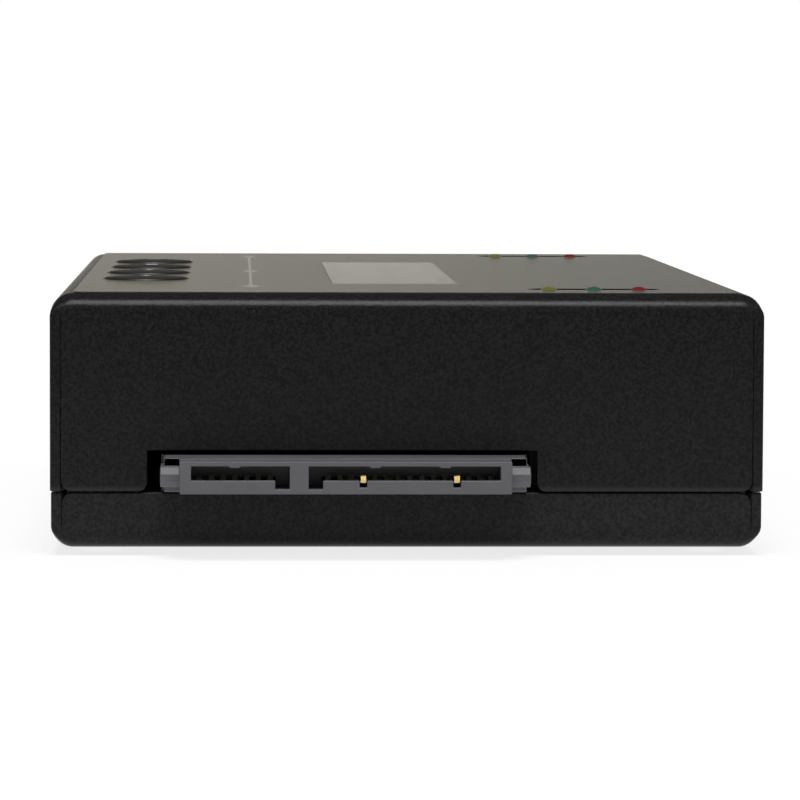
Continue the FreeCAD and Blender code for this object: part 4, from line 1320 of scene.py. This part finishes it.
@dataclass
class Lamps:
    """Six status lamps with round tops and wire legs."""

    shop: Paintshop
    pitch: float = 5.05
    radius: float = 1.5
    segments: int = 40
    dome_steps: int = 10
    base: float = 23.95
    top: float = 29.25
    leg: float = 0.25
    leg_ease: float = 0.05
    leg_steps: int = 1
    leg_pitch: float = 2.54
    board: float = 7.0
    overlap: float = 0.2

    def build(self) -> None:
        """Make the lamps of both ends."""
        for end, side in (("front", -1), ("rear", 1)):
            for step, colour in zip((-1, 0, 1), LampColour):
                name = f"{end}_lamp_{colour}"
                surface = self.lamp((LAMP_X + step * self.pitch, side * LAMP_Y))
                self.shop.dress(f"{name}_lens", surface, name, f"lamp_{colour}")

    def lamp(self, place: Place) -> Surface:
        """One lamp: a barrel whose top is half a ball, on two legs.

        Args:
            place: Its middle.

        Returns:
            The closed surfaces.
        """
        dome = bend((0, self.top - self.radius), self.radius, 0, 90, self.dome_steps)
        profile = np.vstack([[0, self.base], [self.radius, self.base], dome])
        profile[-1, 0] = 0
        x, y = place
        legs = [soft_post((x + side * self.leg_pitch / 2, y), self.leg, self.board, self.base + self.overlap,
                          self.leg_ease, self.leg_steps) for side in (-1, 1)]
        return joined([turned(profile, place, self.segments), *legs])


# ---------------------------------------------------------------- ports, inlet and switch


@dataclass
class Connectors:
    """The drive ports, the power inlet and its switch, with moulded edges eased."""

    shop: Paintshop
    port_edge: float = 0.12
    inlet_edge: float = 0.12
    knob_edge: float = 0.18

    def build(self) -> None:
        """Dress each connector."""
        eased = [
            ("front_port_housing", Body.HOUSING, self.port_edge, "port_plastic"),
            ("rear_port_housing", Body.HOUSING, self.port_edge, "port_plastic"),
            ("power_jack_housing", Body.HOUSING, self.inlet_edge, "black_plastic"),
            ("power_jack_pin", Body.HOUSING, self.inlet_edge, "plated_steel"),
            ("power_switch_frame", Body.HOUSING, self.inlet_edge, "plated_steel"),
            ("power_switch_knob", Body.POWER_SWITCH, self.knob_edge, "black_plastic"),
        ]
        for node, body, edge, slot in eased:
            self.shop.paint(copy_of_node(f"{node}_eased", node, body, edge), slot)


@dataclass
class PlainPieces:
    """The solids that are shown as they are, each in the finish of its own slot."""

    shop: Paintshop

    def build(self) -> None:
        """Paint every solid that the part's record names."""
        for row in frame["record"]["subparts"]:
            self.shop.paint(frame["nodes"][row["node"]], row["material_slot"])
            log.info("%s: painted %s", row["node"], row["material_slot"])


# ---------------------------------------------------------------- studio


@dataclass
class Studio:
    """Floor, light and camera."""

    camera_place: tuple[float, float, float] = (-18.66, -527.74, 50.14)
    yaw: float = 2.183
    pitch: float = 4.03
    roll: float = 0.235
    lens: float = 192.2
    sensor: float = 36.0
    nearest: float = 10.0
    floor_size: float = 6000.0
    floor_grey: float = 0.93
    floor_glow: float = 0.8
    fill: float = 0.36
    key_level: float = 0.76
    key_rise: float = 72.0
    key_spread: float = 26.0
    white: Colour = (1.0, 1.0, 1.0)
    backdrop_left: Colour = (0.275, 0.257, 0.207)
    backdrop_right: Colour = (0.165, 0.157, 0.128)
    room: Colour = (0.05, 0.05, 0.05)
    # Where one part of the surroundings fades into the next, by a direction's X, Z, Z and Y.
    left_to_right: tuple[float, float] = (-0.02, 0.14)
    white_to_backdrop: tuple[float, float] = (0.025, 0.033)
    backdrop_to_room: tuple[float, float] = (0.1, 0.4)
    room_to_rear: tuple[float, float] = (-0.1, 0.3)

    def build(self) -> None:
        """Set up everything that isn't the object."""
        bpy.context.scene.view_settings.view_transform = "Standard"
        self.floor()
        self.world()
        self.key_light()
        self.camera()

    def floor(self) -> None:
        """A wide pale floor below the feet."""
        half = self.floor_size / 2
        corners = raised(rectangle(-half, half, -half, half), 0.0)
        mesh = bpy.data.meshes.new("floor")
        mesh.from_pydata((corners * MM).tolist(), [], [(0, 1, 2, 3)])
        floor = add_object("floor", mesh)
        paper = bpy.data.materials.new("floor_paper")
        tree = ShaderTree(paper)
        diffuse = tree.node("ShaderNodeBsdfDiffuse", None, {"Color": opaque((self.floor_grey,) * 3)})
        glow = tree.node("ShaderNodeEmission", None, {"Strength": 1.0})
        shaders = {0: self.floor_glow * self.seen_rays(tree), 1: diffuse.outputs[0], 2: glow.outputs[0]}
        surface = tree.node("ShaderNodeMixShader", None, shaders)
        tree.node("ShaderNodeOutputMaterial", None, {0: surface.outputs[0]})
        mesh.materials.append(paper)

    def seen_rays(self, tree: ShaderTree) -> Signal:
        """One for camera, glossy and transmission rays, and zero for the rest.

        Args:
            tree: The tree that asks.

        Returns:
            The largest of the three.
        """
        path = tree.node("ShaderNodeLightPath")
        names = ("Is Camera Ray", "Is Glossy Ray", "Is Transmission Ray")
        return reduce(Signal.most, [Signal(tree, path.outputs[name]) for name in names])

    def world(self) -> None:
        """A plain fill for soft light, and a white horizon below a dimmer backdrop and a dark room."""
        world = bpy.data.worlds.new("studio")
        bpy.context.scene.world = world
        tree = ShaderTree(world)
        coordinates = tree.node("ShaderNodeTexCoord")
        split = tree.node("ShaderNodeSeparateXYZ", None, {0: coordinates.outputs["Generated"]})
        across, depth, rise = (Signal(tree, output) for output in split.outputs)
        backdrop = tree.mix(across.ramp(*self.left_to_right), self.backdrop_left, self.backdrop_right)
        backdrop = tree.mix(rise.ramp(*self.white_to_backdrop), self.white, backdrop)
        backdrop = tree.mix(rise.ramp(*self.backdrop_to_room), backdrop, self.room)
        seen = tree.mix(depth.ramp(*self.room_to_rear), self.room, backdrop)
        colour = tree.mix(self.seen_rays(tree), (self.fill,) * 3, seen)
        background = tree.node("ShaderNodeBackground", None, {"Color": colour, "Strength": 1.0})
        tree.node("ShaderNodeOutputWorld", None, {0: background.outputs[0]})

    def key_light(self) -> None:
        """A broad far lamp high in front, whose light on the floor has the key's level."""
        lamp = bpy.data.lights.new("key", "SUN")
        rise = math.radians(self.key_rise)
        lamp.energy = self.key_level * math.pi / math.sin(rise)
        lamp.angle = math.radians(self.key_spread)
        holder = add_object("key", lamp)
        holder.location = Vector((0, -math.cos(rise), math.sin(rise)))
        holder.rotation_euler = holder.location.to_track_quat("Z", "Y").to_euler()

    def camera(self) -> None:
        """A long lens in front of the case, a little above its top."""
        yaw, pitch, roll = (math.radians(angle) for angle in (self.yaw, self.pitch, self.roll))
        level = Vector((math.cos(yaw), -math.sin(yaw), 0))
        ahead = Vector((math.sin(yaw) * math.cos(pitch), math.cos(yaw) * math.cos(pitch), -math.sin(pitch)))
        above = level.cross(ahead)
        right = math.cos(roll) * level + math.sin(roll) * above
        up = -math.sin(roll) * level + math.cos(roll) * above
        data = bpy.data.cameras.new("camera")
        data.lens = self.lens
        data.sensor_width = self.sensor
        data.clip_start = self.nearest * MM
        data.clip_end = self.floor_size * MM
        holder = add_object("camera", data)
        turn = Matrix((right, up, -ahead)).transposed().to_4x4()
        holder.matrix_world = Matrix.Translation(Vector(self.camera_place) * MM) @ turn
        bpy.context.scene.camera = holder


def main() -> None:
    """Build the object's looks and its studio."""
    logging.basicConfig(level=logging.INFO, format="%(name)s %(message)s")
    shop = Paintshop(FINISHES)
    for assembly in (PlainPieces(shop), Case(shop), Buttons(shop), Lamps(shop), Connectors(shop), Studio()):
        log.info("building %s", type(assembly).__name__)
        assembly.build()


if __name__ == "__main__":
    main()
